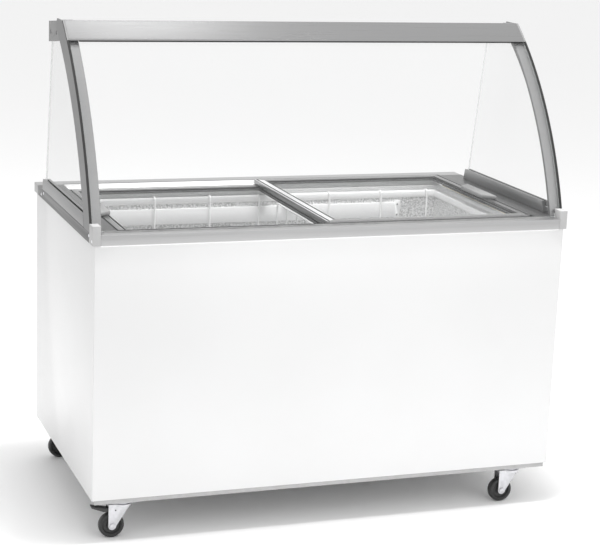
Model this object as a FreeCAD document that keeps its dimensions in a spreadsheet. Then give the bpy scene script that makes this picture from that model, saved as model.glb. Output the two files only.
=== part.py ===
"""Glass-canopy chest freezer for scooped ice cream, as a parametric FreeCAD document.

The row frame: millimetres, +Z up, the origin on the floor under the middle of the cabinet,
+X to the customer's right and -Y towards the customer. Every size is a cell of the sheet
"Sizes", and every formula below is written in the names of those cells.
"""
import FreeCAD, Part
import Sketcher
import os
import re

doc = FreeCAD.newDocument("chest_freezer")
Vector = FreeCAD.Vector
Rotation = FreeCAD.Rotation
Placement = FreeCAD.Placement

# ---------------------------------------------------------------- driving dimensions
SIZES = {
    # cabinet casing
    "body_width": 1250, "body_depth": 700, "body_base": 112, "body_top": 757, "skin": 1,
    "fold": 20, "base_inset": 7, "base_height": 12, "base_gauge": 2,
    # storage tub: deep on the left, raised over the machine bay on the right
    "tub_width": 1062, "tub_depth": 540, "tub_floor": 190, "tub_gauge": 1,
    "step_wall": 240, "step_floor": 470, "bay_wall": 300, "bay_top": 410, "foam_gap": 2,
    # white collar that joins the tub to the top frame
    "collar_low": 727, "collar_ledge": 746, "collar_top": 756,
    "collar_width": 1122, "collar_depth": 600, "collar_mouth_width": 1098,
    "collar_mouth_depth": 576, "collar_lip": 2,
    # aluminium top frame
    "overhang": 6, "rail_height": 26, "rail_wall": 2.5, "side_rail": 70, "long_rail": 50,
    "rail_end_web": 15,
    "cap_width": 20, "cap_depth": 38, "cap_rise": 22,
    # two-level lid tracks
    "track_reach": 280, "track_step": 292, "track_wall": 302, "lower_ledge": 759,
    "upper_ledge": 773,
    # canopy: the arc of the front glass and what carries it
    "arc_back": 543, "arc_rise": 526, "arc_radius": 909, "canopy_top": 1257,
    "glass_set": 1, "glass_gauge": 6, "glass_inset": 6, "glass_foot": 785,
    "arc_start": 126.2, "arc_sweep": 38.3,
    "post_plate": 3, "post_depth": 62, "post_seat": 8, "post_nose": 31, "post_web": 17,
    "nose_round": 8, "seal_width": 5, "seal_proud": 1, "seal_depth": 3,
    "holder_width": 20, "holder_height": 29, "holder_front": 257, "holder_back": 248,
    "holder_slope": 8, "holder_rake": 10.5, "slot_depth": 15, "side_gauge": 5,
    "side_inset": 7, "side_glass_round": 40, "side_foot_back": 238, "side_head_back": 166,
    "side_head": 1200,
    # beam across the top of the canopy, and its end plates
    "beam_low": 1214, "beam_skin": 1.5, "beam_back": 62, "beam_heel": 40, "beam_heel_low": 1206,
    "beam_back_top": 1250, "beam_slot_top": 1250, "beam_wall": 2,
    "end_width": 16, "end_back": 170, "end_back_top": 1240, "end_back_low": 1187,
    "end_front_low": 1214, "end_nose": 60, "screw_recess": 5.5, "screw_radius": 4.5,
    "recess_depth": 4, "screw_head": 2.5, "end_screw_back": 144, "end_screw_front": 74,
    "end_screw_high": 1215,
    "rail_screw_back": 264, "rail_screw_front": 312, "rail_screw_pitch": 32,
    "rail_screw_high": 774, "rail_screw_low": 766,
    # lids
    "lid_outer": 553, "lid_overlap": 16, "lid_height": 13, "lid_play": 0.4,
    "lower_lid_half": 291, "upper_lid_half": 301, "lid_stile": 30, "lid_glass": 4,
    "lid_groove": 8, "lid_groove_low": 4.5, "lid_seat_play": 0.2,
    "handle_half": 95, "handle_taper": 28, "handle_width": 34, "handle_height": 11,
    # shop fittings inside the tub
    "guard_low": 671, "guard_high": 714, "guard_end": 405, "guard_gap": 2, "guard_stand": 6,
    "guard_sheet": 1.5,
    "bracket_width": 18, "bracket_over": 6,
    "wire": 5, "wire_stand": 3, "wire_top": 738, "wire_foot": 484, "wire_hook": 14,
    "wire_group": 515, "wire_first": -315, "wire_second": -156, "wire_third": -12,
    "divider_half": 255, "divider_top": 724, "divider_foot": 204,
    "divider_left": -470, "divider_centre": 41, "divider_pitch": 86,
    "sensor_x": 62, "sensor_width": 34, "sensor_height": 20, "sensor_depth": 14,
    "sensor_low": 716, "sensor_slot": 4,
    # machine bay
    "compressor_x": 455, "compressor_y": 20, "compressor_radius": 78,
    "compressor_height": 178, "compressor_dome": 30, "dome_crown": 48, "compressor_plate": 3,
    "foot_radius": 12, "foot_height": 14, "foot_spread": 68,
    "coil_left": 345, "coil_right": 585, "coil_low": 102, "coil_high": 310,
    "coil_front": 290, "coil_back": 330, "fin_count": 21, "fin_gauge": 1.2, "coil_tube": 5,
    "coil_rows": 6, "coil_row_shift": 10,
    "shroud_gauge": 3, "shroud_depth": 12, "fan_opening": 92, "fan_radius": 84,
    "fan_hub": 20, "fan_depth": 16, "fan_back": 272, "blade_count": 5, "blade_chord": 38,
    "blade_gauge": 1.5, "blade_lean": 62, "motor_radius": 32, "motor_depth": 44,
    "motor_arm": 12, "shaft_radius": 3, "shaft_play": 0.05,
    "evaporator_section": 8, "evaporator_pitch": 60, "evaporator_turns": 4,
    # back panel furniture
    "grille_left": 325, "grille_right": 605, "grille_low": 125, "grille_high": 330,
    "grille_gauge": 1.5, "grille_margin": 14, "louvre": 6, "louvre_pitch": 15, "louvre_count": 12,
    "control_left": 330, "control_right": 470, "control_low": 342, "control_high": 402,
    "control_recess": 15, "control_rim": 1.5, "control_wall": 3, "knob_x": 372, "knob_z": 372,
    "knob_radius": 14, "knob_grip": 11, "knob_height": 11,
    "knob_play": 0.3, "gland_x": 560, "gland_z": 372,
    "gland_flange": 11, "gland_body": 8, "gland_bore": 4, "gland_reach": 10, "gland_nose": 5,
    # casters
    "caster_x": 538, "caster_y": 310, "caster_plate": 62, "caster_plate_gauge": 3,
    "race_radius": 21, "race_depth": 7, "kingpin_radius": 5, "kingpin_low": 79,
    "kingpin_head": 9, "kingpin_head_gauge": 3.5, "fork_low": 83, "fork_high": 89.5,
    "fork_radius": 24, "fork_bore": 5.1, "leg_inner": 13, "leg_gauge": 2.5, "leg_front": 19,
    "leg_back": 38, "leg_boss": 10, "trail": 28,
    "wheel_radius": 32.5, "wheel_width": 22, "tyre_round": 5, "hub_radius": 13,
    "web_half": 5, "rim_radius": 23, "rim_flare": 2,
    "bore_radius": 4.06, "axle_radius": 4, "axle_head": 7,
    "axle_head_gauge": 2.5, "pedal_half": 10, "pedal_pivot_z": 74,
    "pedal_pivot_x": 20, "pedal_pin": 2, "pedal_eye": 5, "pedal_gauge": 8, "pedal_reach": 60,
    "pedal_rise": 8,
}

sheet = doc.addObject("Spreadsheet::Sheet", "Sizes")
for row, (alias, value) in enumerate(SIZES.items(), start=1):
    sheet.set(f"A{row}", alias)
    sheet.set(f"B{row}", str(value))
    sheet.setAlias(f"B{row}", alias)
doc.recompute()

parts = {}


# ---------------------------------------------------------------- building blocks
def on_sheet(formula):
    """A formula in the names of the sheet's cells, as a FreeCAD expression."""
    return re.sub(r"[a-z]+(?:_[a-z]+)*", lambda found: "Sizes." + found.group(), str(formula))


def bind(thing, prop, formula):
    thing.setExpression(prop, on_sheet(formula))


def bind_base(thing, x, y, z):
    for letter, formula in zip("xyz", (x, y, z)):
        bind(thing, f"Placement.Base.{letter}", formula)


def block(name, x_span, y_span, z_span):
    """A box between two corners; each span is (low, high)."""
    box = doc.addObject("Part::Box", name)
    for prop, (low, high) in zip(("Length", "Width", "Height"), (x_span, y_span, z_span)):
        bind(box, prop, f"({high}) - ({low})")
    bind_base(box, x_span[0], y_span[0], z_span[0])
    return box


TURNS = {"x": Rotation(Vector(0, 1, 0), 90), "y": Rotation(Vector(1, 0, 0), -90), "z": Rotation()}


def rod(name, along, centre, radius, span):
    """A cylinder along one axis; centre gives the other two coordinates in X, Y, Z order."""
    pin = doc.addObject("Part::Cylinder", name)
    pin.Placement = Placement(Vector(), TURNS[along])
    bind(pin, "Radius", radius)
    bind(pin, "Height", f"({span[1]}) - ({span[0]})")
    place = list(centre)
    place.insert("xyz".index(along), span[0])
    bind_base(pin, *place)
    return pin


def joined(name, pieces):
    whole = doc.addObject("Part::MultiFuse", name)
    whole.Shapes = pieces
    whole.Refine = True
    return whole


def cut(name, base, tools):
    tool = tools[0] if len(tools) == 1 else joined(name + "_tools", tools)
    result = doc.addObject("Part::Cut", name)
    result.Base = base
    result.Tool = tool
    return result


def overlap(name, first, second):
    result = doc.addObject("Part::Common", name)
    result.Base = first
    result.Tool = second
    return result


def group(name, pieces):
    """Several separate solids kept in one sub-part."""
    bundle = doc.addObject("Part::Compound", name)
    bundle.Links = pieces
    return bundle


def mirrored(name, source, across=Vector(1, 0, 0)):
    """The twin of a piece on the other side of the middle: left to right unless told otherwise."""
    twin = doc.addObject("Part::Mirroring", name)
    twin.Source = source
    twin.Base = Vector(0, 0, 0)
    twin.Normal = across
    return twin


def finish(node, thing):
    """Name a sub-part; its label names its file."""
    thing.Label = node
    parts[node] = thing
    return thing


PLANES = {"xy": "XY_Plane", "xz": "XZ_Plane", "yz": "YZ_Plane"}


def outline(body, name, plane, points):
    """A closed sketch whose corners are held by formulas, on one of the body's own planes."""
    sketch = body.newObject("Sketcher::SketchObject", name)
    support = [f for f in body.Origin.OriginFeatures if f.Role == PLANES[plane]]
    sketch.AttachmentSupport = (support[0], [""])
    sketch.MapMode = "FlatFace"
    count = len(points)
    ring = [Vector(100, 0, 0)] * count
    for i in range(count):
        turn = Rotation(Vector(0, 0, 1), 360.0 * i / count)
        ring[i] = turn.multVec(Vector(100, 0, 0)) + Vector(130, 130, 0)
    for i in range(count):
        sketch.addGeometry(Part.LineSegment(ring[i], ring[(i + 1) % count]), False)
    for i in range(count):
        sketch.addConstraint(Sketcher.Constraint("Coincident", i, 2, (i + 1) % count, 1))
    for i, (across, up) in enumerate(points):
        for kind, formula, at in (("DistanceX", across, ring[i].x), ("DistanceY", up, ring[i].y)):
            index = sketch.addConstraint(Sketcher.Constraint(kind, -1, 1, i, 1, at))
            bind(sketch, f"Constraints[{index}]", formula)
    return sketch


def prism(name, plane, points, span):
    """A PartDesign pad of an outline, between two offsets along the plane's normal."""
    body = doc.addObject("PartDesign::Body", name)
    sketch = outline(body, name + "_outline", plane, points)
    low, high = span
    if plane == "xz":
        low, high = f"-({span[1]})", f"-({span[0]})"
    bind(sketch, "AttachmentOffset.Base.z", low)
    pad = body.newObject("PartDesign::Pad", name + "_pad")
    pad.Profile = sketch
    bind(pad, "Length", f"({high}) - ({low})")
    sketch.Visibility = False
    return body


def canopy_sweep(name, points):
    """A section (x, radius) swept about the canopy's axis, from above the beam to the foot."""
    body = doc.addObject("PartDesign::Body", name)
    sketch = outline(body, name + "_section", "xy", points)
    turn = Rotation(Vector(1, 0, 0), SIZES["arc_start"])
    sketch.AttachmentOffset = Placement(Vector(), turn)
    bind(sketch, "AttachmentOffset.Base.y", "arc_back")
    bind(sketch, "AttachmentOffset.Base.z", "arc_rise")
    sweep = body.newObject("PartDesign::Revolution", name + "_sweep")
    sweep.Profile = sketch
    sweep.ReferenceAxis = (sketch, ["H_Axis"])
    bind(sweep, "Angle", "arc_sweep")
    return body


def spun(name, points):
    """A section (radius, y) spun about the body's own Y axis."""
    body = doc.addObject("PartDesign::Body", name)
    sketch = outline(body, name + "_section", "xy", points)
    spin = body.newObject("PartDesign::Revolution", name + "_spin")
    spin.Profile = sketch
    spin.ReferenceAxis = (sketch, ["V_Axis"])
    spin.Angle = 360
    return body


HALF_W = "body_width / 2"
HALF_D = "body_depth / 2"
RAIL_X = "body_width / 2 + overhang"
RAIL_Y = "body_depth / 2 + overhang"
RAIL_TOP = "body_top + rail_height"
PANE_SPAN = (f"-({RAIL_X}) + side_inset", f"-({RAIL_X}) + side_inset + side_gauge")


def both(half):
    """A span centred on zero."""
    return (f"-({half})", half)


# ---------------------------------------------------------------- casing
def folded_front_panel():
    """One sheet pan: the front with a fold all round its inner side."""
    outer = block("front_sheet", both(f"{HALF_W} - skin"), (f"-{HALF_D}", f"-{HALF_D} + fold"),
                  ("body_base", "body_top"))
    inner = block("front_hollow", both(f"{HALF_W} - 2 * skin"),
                  (f"-{HALF_D} + skin", f"-{HALF_D} + 2 * fold"),
                  ("body_base + skin", "body_top - skin"))
    finish("front_panel", cut("front_pan", outer, [inner]))


def side_panel():
    """A flat side sheet with a fold along its lower edge; the right one is its mirror image."""
    sheet_part = block("side_sheet", (f"-{HALF_W}", f"-{HALF_W} + skin"), both(HALF_D),
                       ("body_base", "body_top"))
    lip = block("side_lip", (f"-{HALF_W}", f"-{HALF_W} + fold"),
                (f"-{HALF_D} + fold + skin", f"{HALF_D} - 2 * skin"),
                ("body_base", "body_base + skin"))
    left = finish("left_side_panel", joined("side_fold", [sheet_part, lip]))
    finish("right_side_panel", mirrored("side_fold_right", left))


def back_panel():
    """The back sheet, open behind the grille, the control box and the cord's gland."""
    flat = block("back_sheet", both(f"{HALF_W} - skin"), (f"{HALF_D} - skin", HALF_D),
                 ("body_base", "body_top"))
    thick = (f"{HALF_D} - 2 * skin", f"{HALF_D} + skin")
    vent = block("back_vent", ("grille_left + grille_margin", "grille_right - grille_margin"),
                 thick, ("grille_low + grille_margin", "grille_high - grille_margin"))
    window = block("back_window", ("control_left + control_wall / 2",
                                   "control_right - control_wall / 2"), thick,
                   ("control_low + control_wall / 2", "control_high - control_wall / 2"))
    hole = rod("back_cord_hole", "y", ("gland_x", "gland_z"), "gland_body", thick)
    finish("back_panel", cut("back_cut", flat, [vent, window, hole]))


def vent_grille():
    """A flat plate with level slots, held over the machine bay's opening."""
    plate = block("grille_plate", ("grille_left", "grille_right"),
                  (HALF_D, f"{HALF_D} + grille_gauge"), ("grille_low", "grille_high"))
    slots = []
    for i in range(SIZES["louvre_count"]):
        low = f"grille_low + grille_margin + louvre_pitch * {i}"
        slots.append(block(f"grille_slot_{i}",
                           ("grille_left + 2 * grille_margin", "grille_right - 2 * grille_margin"),
                           (f"{HALF_D} - skin", f"{HALF_D} + 2 * grille_gauge"),
                           (low, f"{low} + louvre")))
    finish("vent_grille", cut("grille_cut", plate, slots))


def base_pan():
    """A shallow steel tray that carries the cabinet and takes the caster plates."""
    low = "body_base - base_height"
    outer = block("base_outer", both(f"{HALF_W} - base_inset"), both(f"{HALF_D} - base_inset / 2"),
                  (low, "body_base"))
    inner = block("base_inner", both(f"{HALF_W} - base_inset - base_gauge"),
                  both(f"{HALF_D} - base_inset / 2 - base_gauge"),
                  (f"{low} + base_gauge", "body_base + skin"))
    finish("base_pan", cut("base_tray", outer, [inner]))


# ---------------------------------------------------------------- tub and insulation
def evaporator_loops(name):
    """Level loops of tube round the tub's sides, on one riser."""
    half_x = "tub_width / 2 + tub_gauge"
    half_y = "tub_depth / 2 + tub_gauge"
    lowest = "step_floor + evaporator_section"
    pieces = []
    for i in range(SIZES["evaporator_turns"]):
        low = f"{lowest} + evaporator_pitch * {i}"
        high = f"{low} + evaporator_section"
        ring = block(f"{name}_ring_{i}", both(f"{half_x} + evaporator_section"),
                     both(f"{half_y} + evaporator_section"), (low, high))
        core = block(f"{name}_core_{i}", both(half_x), both(half_y),
                     (f"{low} - skin", f"{high} + skin"))
        pieces.append(cut(f"{name}_loop_{i}", ring, [core]))
    riser = block(f"{name}_riser", (f"-({half_x}) - evaporator_section", f"-({half_x})"),
                  both("evaporator_section / 2"),
                  (lowest, f"{lowest} + evaporator_pitch * (evaporator_turns - 1)"))
    return joined(name, pieces + [riser])


def tub_and_foam():
    """The folded tub, the foam round it, and the evaporator tube bedded in the foam."""
    half_x = "tub_width / 2"
    half_y = "tub_depth / 2"
    deep_in = block("tub_deep_in", (f"-{half_x}", "step_wall"), both(half_y),
                    ("tub_floor", "collar_low + skin"))
    high_in = block("tub_high_in", ("step_wall - skin", half_x), both(half_y),
                    ("step_floor", "collar_low + skin"))
    deep_out = block("tub_deep_out", (f"-{half_x} - tub_gauge", "step_wall + tub_gauge"),
                     both(f"{half_y} + tub_gauge"), ("tub_floor - tub_gauge", "collar_low"))
    high_out = block("tub_high_out", ("step_wall - skin", f"{half_x} + tub_gauge"),
                     both(f"{half_y} + tub_gauge"), ("step_floor - tub_gauge", "collar_low"))
    shell = joined("tub_outer", [deep_out, high_out])
    finish("inner_liner", cut("tub_shell", shell, [deep_in, high_in]))

    mass = block("foam_mass", both(f"{HALF_W} - foam_gap - skin"),
                 both(f"{HALF_D} - foam_gap"), ("body_base + foam_gap", "body_top - skin"))
    deep_void = block("foam_deep", (f"-{half_x} - tub_gauge", "step_wall + tub_gauge"),
                      both(f"{half_y} + tub_gauge"), ("tub_floor - tub_gauge", "body_top + skin"))
    high_void = block("foam_high", ("step_wall - skin", f"{half_x} + tub_gauge"),
                      both(f"{half_y} + tub_gauge"), ("step_floor - tub_gauge", "body_top + skin"))
    collar_void = block("foam_collar", both("collar_width / 2"), both("collar_depth / 2"),
                        ("collar_low", "body_top + skin"))
    bay = block("foam_bay", ("bay_wall", f"{HALF_W}"), both(f"{HALF_D}"),
                ("body_base", "bay_top"))
    groove = evaporator_loops("foam_groove")
    finish("foam_insulation",
           cut("foam_cut", mass, [deep_void, high_void, collar_void, bay, groove]))
    finish("evaporator_tube", evaporator_loops("evaporator"))


def liner_collar():
    """A white moulded ring: a ledge under the lids and a lip over the tub's edge."""
    ring = block("collar_ring", both("collar_width / 2"), both("collar_depth / 2"),
                 ("collar_low", "collar_top"))
    mouth = block("collar_mouth", both("collar_mouth_width / 2"), both("collar_mouth_depth / 2"),
                  ("collar_ledge", "collar_top + skin"))
    throat = block("collar_throat", both("tub_width / 2 - collar_lip"),
                   both("tub_depth / 2 - collar_lip"), ("collar_low - skin", "collar_top"))
    finish("liner_collar", cut("collar_cut", ring, [mouth, throat]))


# ---------------------------------------------------------------- top frame
def top_frame():
    """Front, rear and side rails, with a raised cap at each front corner."""
    inner_x = f"{RAIL_X} - side_rail"
    inner_y = f"{RAIL_Y} - long_rail"
    shell = "rail_wall"
    hollow_z = (f"body_top + {shell}", f"{RAIL_TOP} - {shell}")

    front = block("front_rail_bar", both(f"{RAIL_X} - cap_width"), (f"-({RAIL_Y})", f"-({inner_y})"),
                  ("body_top", RAIL_TOP))
    front_core = block("front_rail_core", both(RAIL_X),
                       (f"-({RAIL_Y}) + {shell}", f"-({inner_y}) - {shell}"), hollow_z)
    finish("front_rail", cut("front_rail_cut", front, [front_core]))

    rear = block("rear_rail_bar", both(RAIL_X), (inner_y, RAIL_Y), ("body_top", RAIL_TOP))
    rear_core = block("rear_rail_core", both(f"{RAIL_X} - {shell}"),
                      (f"{inner_y} + {shell}", f"{RAIL_Y} - {shell}"), hollow_z)
    finish("rear_rail", cut("rear_rail_cut", rear, [rear_core]))

    side = block("side_rail_bar", (f"-({RAIL_X})", f"-({inner_x})"), both(inner_y),
                 ("body_top", RAIL_TOP))
    side_core = block("side_rail_core", (f"-({RAIL_X}) + 2 * {shell}", f"-({inner_x}) - {shell}"),
                      both(f"{inner_y} - rail_end_web"), hollow_z)
    toe = block("side_rail_toe", (f"-({RAIL_X})", f"-({RAIL_X}) + cap_width"),
                (f"-({RAIL_Y}) + cap_depth", f"-({inner_y})"), ("body_top", RAIL_TOP))
    recesses = screw_places("rail_recess", "screw_recess", "screw_head")
    left = cut("side_rail_cut", joined("side_rail_whole", [side, toe]), [side_core] + recesses)
    finish("side_rails", group("side_rail_pair", [left, mirrored("side_rail_right", left)]))

    screws = group("rail_screw_set", screw_places("rail_screw", "screw_radius", "screw_head"))
    finish("rail_screws", group("rail_screw_pair", [screws, mirrored("rail_screw_twin", screws)]))

    cap = cut("post_cap_cut", cap_block("post_cap_block"),
              [glass_room("post_cap_room")] + screw_places("cap_recess", "screw_recess",
                                                           "screw_head"))
    finish("post_caps", group("post_cap_pair", [cap, mirrored("post_cap_right", cap)]))


def cap_block(name):
    return block(name, (f"-({RAIL_X})", f"-({RAIL_X}) + cap_width"),
                 (f"-({RAIL_Y})", f"-({RAIL_Y}) + cap_depth"),
                 ("body_top", f"{RAIL_TOP} + cap_rise"))


def glass_room(name):
    """The space that the front pane needs inside a part at the left end."""
    outer = canopy_cylinder(f"{name}_outer", "arc_radius - glass_set / 2", "body_width")
    inner = canopy_cylinder(f"{name}_inner", "arc_radius - 1.5 * glass_set - glass_gauge",
                            "body_width + skin")
    band = block(f"{name}_band", (f"-({RAIL_X}) + glass_inset - skin / 2", "0"),
                 (f"-({RAIL_Y})", RAIL_Y), (RAIL_TOP, "beam_slot_top"))
    return overlap(name, cut(f"{name}_ring", outer, [inner]), band)


def screw_places(name, radius, depth):
    """Screws along the left rail and its cap, as heads or as the recesses that hold them."""
    places = (("rail_screw_back", "rail_screw_low"),
              ("rail_screw_back - rail_screw_pitch", "rail_screw_high"),
              ("-rail_screw_front", "rail_screw_high"),
              ("-rail_screw_front - rail_screw_pitch", "rail_screw_low"))
    return [rod(f"{name}_{i}", "x", place, radius, (f"-({RAIL_X})", f"-({RAIL_X}) + {depth}"))
            for i, place in enumerate(places)]


def lid_tracks():
    """Stepped white extrusions: the lower ledge reaches further in than the upper one."""
    half = f"{RAIL_X} - side_rail"
    wall = f"{RAIL_Y} - long_rail"
    section = [("track_reach", "collar_top"), (wall, "collar_top"), (wall, RAIL_TOP),
               ("track_wall", RAIL_TOP), ("track_wall", "upper_ledge"),
               ("track_step", "upper_ledge"), ("track_step", "lower_ledge"),
               ("track_reach", "lower_ledge")]
    finish("rear_lid_track", prism("rear_track", "yz", section, both(half)))
    ahead = [(f"-({across})", up) for across, up in section]
    finish("front_lid_track", prism("front_track", "yz", ahead, both(half)))


# ---------------------------------------------------------------- glass canopy
def canopy_cylinder(name, radius, half):
    """A full cylinder about the canopy's axis, to trim pieces to the arc."""
    return rod(name, "x", ("arc_back", "arc_rise"), radius, both(half))


def above_beam_line(name):
    """Everything over the sloping lower edge of the beam's end plates."""
    points = [("-arc_radius", "end_front_low"), ("-end_nose", "end_front_low"),
              ("end_back", "end_back_low"), ("arc_radius", "end_back_low"),
              ("arc_radius", "2 * canopy_top"), ("-arc_radius", "2 * canopy_top")]
    return prism(name, "yz", points, both("body_width"))


def below_rails(name):
    return block(name, both("body_width"), both("body_width"), ("0", RAIL_TOP))


def posts():
    """A curved corner extrusion: a side plate, a seat for the glass and a rounded nose."""
    edge = f"-({RAIL_X})"
    section = [(edge, "arc_radius - seal_depth"),
               (f"{edge} + post_plate", "arc_radius - seal_depth"),
               (f"{edge} + post_plate", "arc_radius - post_seat"),
               (f"{edge} + post_nose", "arc_radius - post_seat"),
               (f"{edge} + post_nose", "arc_radius - post_web"),
               (f"{edge} + post_plate", "arc_radius - post_web"),
               (f"{edge} + post_plate", "arc_radius - post_depth"),
               (edge, "arc_radius - post_depth")]
    raw = canopy_sweep("post_raw", section)
    doc.recompute()
    nose_x = -SIZES["body_width"] / 2 - SIZES["overhang"] + SIZES["post_nose"]
    nose_r = SIZES["arc_radius"] - SIZES["post_seat"]
    sweep = raw.Tip
    fillet = raw.newObject("PartDesign::Fillet", "post_nose_round")
    fillet.Base = (sweep, swept_edges(sweep.Shape, nose_x, nose_r))
    bind(fillet, "Radius", "nose_round")
    raw.Tip = fillet
    left = cut("post_cut", raw, [above_beam_line("post_trim"), below_rails("post_foot"),
                                 cap_block("post_cap_clear")])
    finish("left_post", left)
    finish("right_post", mirrored("post_right", left))


def swept_edges(shape, x, radius):
    """Names of the long curved edges at one x and one distance from the canopy's axis."""
    names = []
    for i, edge in enumerate(shape.Edges, start=1):
        ends = [vertex.Point for vertex in edge.Vertexes]
        reach = [((p.y - SIZES["arc_back"]) ** 2 + (p.z - SIZES["arc_rise"]) ** 2) ** 0.5
                 for p in ends]
        here = [abs(p.x - x) < 0.01 and abs(r - radius) < 0.01 for p, r in zip(ends, reach)]
        if len(ends) == 2 and all(here):
            names.append(f"Edge{i}")
    return names


def front_glass():
    """The curved pane, from the foot gasket up into the beam's slot."""
    half = f"{RAIL_X} - glass_inset"
    section = [(f"-({half})", "arc_radius - glass_set"), (half, "arc_radius - glass_set"),
               (half, "arc_radius - glass_set - glass_gauge"),
               (f"-({half})", "arc_radius - glass_set - glass_gauge")]
    pane = canopy_sweep("glass_raw", section)
    head = block("glass_head", both("body_width"), both("body_width"),
                 ("beam_slot_top - glass_set", "2 * canopy_top"))
    foot = block("glass_toe", both("body_width"), both("body_width"), ("0", "glass_foot"))
    finish("front_glass", cut("glass_cut", pane, [head, foot]))


def front_glass_seals():
    """Black edge strips on the post plates, and the gasket under the pane."""
    edge = f"-({RAIL_X})"
    section = [(edge, "arc_radius + seal_proud"),
               (f"{edge} + seal_width", "arc_radius + seal_proud"),
               (f"{edge} + seal_width", "arc_radius"),
               (f"{edge} + post_plate", "arc_radius"),
               (f"{edge} + post_plate", "arc_radius - seal_depth"),
               (edge, "arc_radius - seal_depth")]
    strip = canopy_sweep("seal_raw", section)
    base = block("seal_foot", both("body_width"), both("body_width"),
                 ("0", f"{RAIL_TOP} + cap_rise"))
    left = cut("seal_cut", strip, [above_beam_line("seal_trim"), base])
    half = f"{RAIL_X} - post_nose - skin"
    sill = [(f"-({half})", "arc_radius + seal_proud"), (half, "arc_radius + seal_proud"),
            (half, "arc_radius - post_seat"), (f"-({half})", "arc_radius - post_seat")]
    ribbon = canopy_sweep("sill_raw", sill)
    band = block("sill_band", both("body_width"), both("body_width"), (RAIL_TOP, "glass_foot"))
    gasket = overlap("sill_gasket", ribbon, band)
    finish("front_glass_seals",
           group("seal_set", [left, mirrored("seal_right", left), gasket]))


def side_holders():
    """The upstands that clamp the side panes along the frame."""
    slope = [("-holder_front", RAIL_TOP), ("holder_back", RAIL_TOP),
             ("holder_back - holder_slope", f"{RAIL_TOP} + holder_height"),
             ("-holder_front + holder_rake", f"{RAIL_TOP} + holder_height")]
    bar = prism("holder_bar", "yz", slope, (f"-({RAIL_X})", f"-({RAIL_X}) + holder_width"))
    slot = block("holder_slot", PANE_SPAN, both("body_depth"),
                 (f"{RAIL_TOP} + holder_height - slot_depth", "canopy_top"))
    left = cut("holder_cut", bar, [slot])
    finish("side_glass_holders", group("holder_pair", [left, mirrored("holder_right", left)]))


def side_panes():
    """Flat side panes: raked at the back, following the post's arc at the front."""
    foot = f"{RAIL_TOP} + holder_height - slot_depth"
    shape = [("-body_depth", foot), ("side_foot_back", foot), ("side_head_back", "side_head"),
             ("-body_depth", "side_head")]
    blank = prism("pane_blank", "yz", shape, PANE_SPAN)
    left = overlap("pane_cut", blank,
                   canopy_cylinder("pane_arc", "arc_radius - side_glass_round", "body_width"))
    finish("left_side_glass", left)
    finish("right_side_glass", mirrored("pane_right", left))


def top_beam():
    """A hollow extrusion whose front follows the glass; the pane's head stands in its slot."""
    half = f"{RAIL_X} - end_width"
    section = [("-end_nose", "beam_low"), ("beam_heel", "beam_heel_low"),
               ("beam_back", "beam_back_top"), ("0", "canopy_top"),
               ("-end_nose", "canopy_top")]
    blank = prism("beam_blank", "yz", section, both(half))
    face = canopy_cylinder("beam_face", "arc_radius + beam_skin", "body_width")
    solid = overlap("beam_solid", blank, face)
    slot_out = canopy_cylinder("beam_slot_out", "arc_radius - glass_set / 2", "body_width")
    slot_in = canopy_cylinder("beam_slot_in", "arc_radius - 2 * glass_set - glass_gauge",
                              "body_width + skin")
    slot_band = block("beam_slot_band", both(HALF_W), both(HALF_W), ("0", "beam_slot_top"))
    slot = overlap("beam_slot", cut("beam_slot_ring", slot_out, [slot_in]), slot_band)
    inner = [("-end_nose", "beam_low + beam_wall"),
             ("beam_heel - beam_wall", "beam_heel_low + beam_wall"),
             ("beam_back - 2 * beam_wall", "beam_back_top - beam_wall"),
             ("0", "canopy_top - 3 * beam_wall"), ("-end_nose", "canopy_top - 3 * beam_wall")]
    core = overlap("beam_core", prism("beam_inner", "yz", inner, both("body_width")),
                   canopy_cylinder("beam_core_face", "arc_radius - 4 * beam_wall - glass_gauge",
                                   "body_width"))
    finish("top_beam", cut("beam_cut", solid, [slot, core]))


def beam_ends():
    """Cast end plates: they close the beam, cap the posts and clamp the side panes."""
    edge = f"-({RAIL_X})"
    section = [("-end_nose", "end_front_low"), ("end_back", "end_back_low"),
               ("end_back", "end_back_top"), ("0", "canopy_top"), ("-end_nose", "canopy_top")]
    blank = prism("end_blank", "yz", section, (edge, f"{edge} + end_width"))
    trimmed = overlap("end_trim", blank,
                      canopy_cylinder("end_face", "arc_radius + beam_skin", "body_width"))
    pane = block("end_pane_slot", PANE_SPAN, both("body_width"), ("0", "side_head"))
    recesses = end_screws("end_recess", "screw_recess", ("0", "recess_depth"))
    left = cut("end_cut", trimmed, [pane, glass_room("end_glass_room")] + recesses)
    finish("beam_end_plates", group("end_pair", [left, mirrored("end_right", left)]))
    heads = group("end_screw_set",
                  end_screws("end_screw", "screw_radius", ("recess_depth - screw_head",
                                                           "recess_depth")))
    finish("beam_screws", group("end_screw_pair", [heads, mirrored("end_screw_twin", heads)]))


def end_screws(name, radius, depth):
    places = (("end_screw_back", "end_screw_high"), ("end_screw_front", "end_screw_high + skin * 4"))
    return [rod(f"{name}_{i}", "x", place, radius,
                (f"-({RAIL_X}) + {depth[0]}", f"-({RAIL_X}) + {depth[1]}"))
            for i, place in enumerate(places)]


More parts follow.
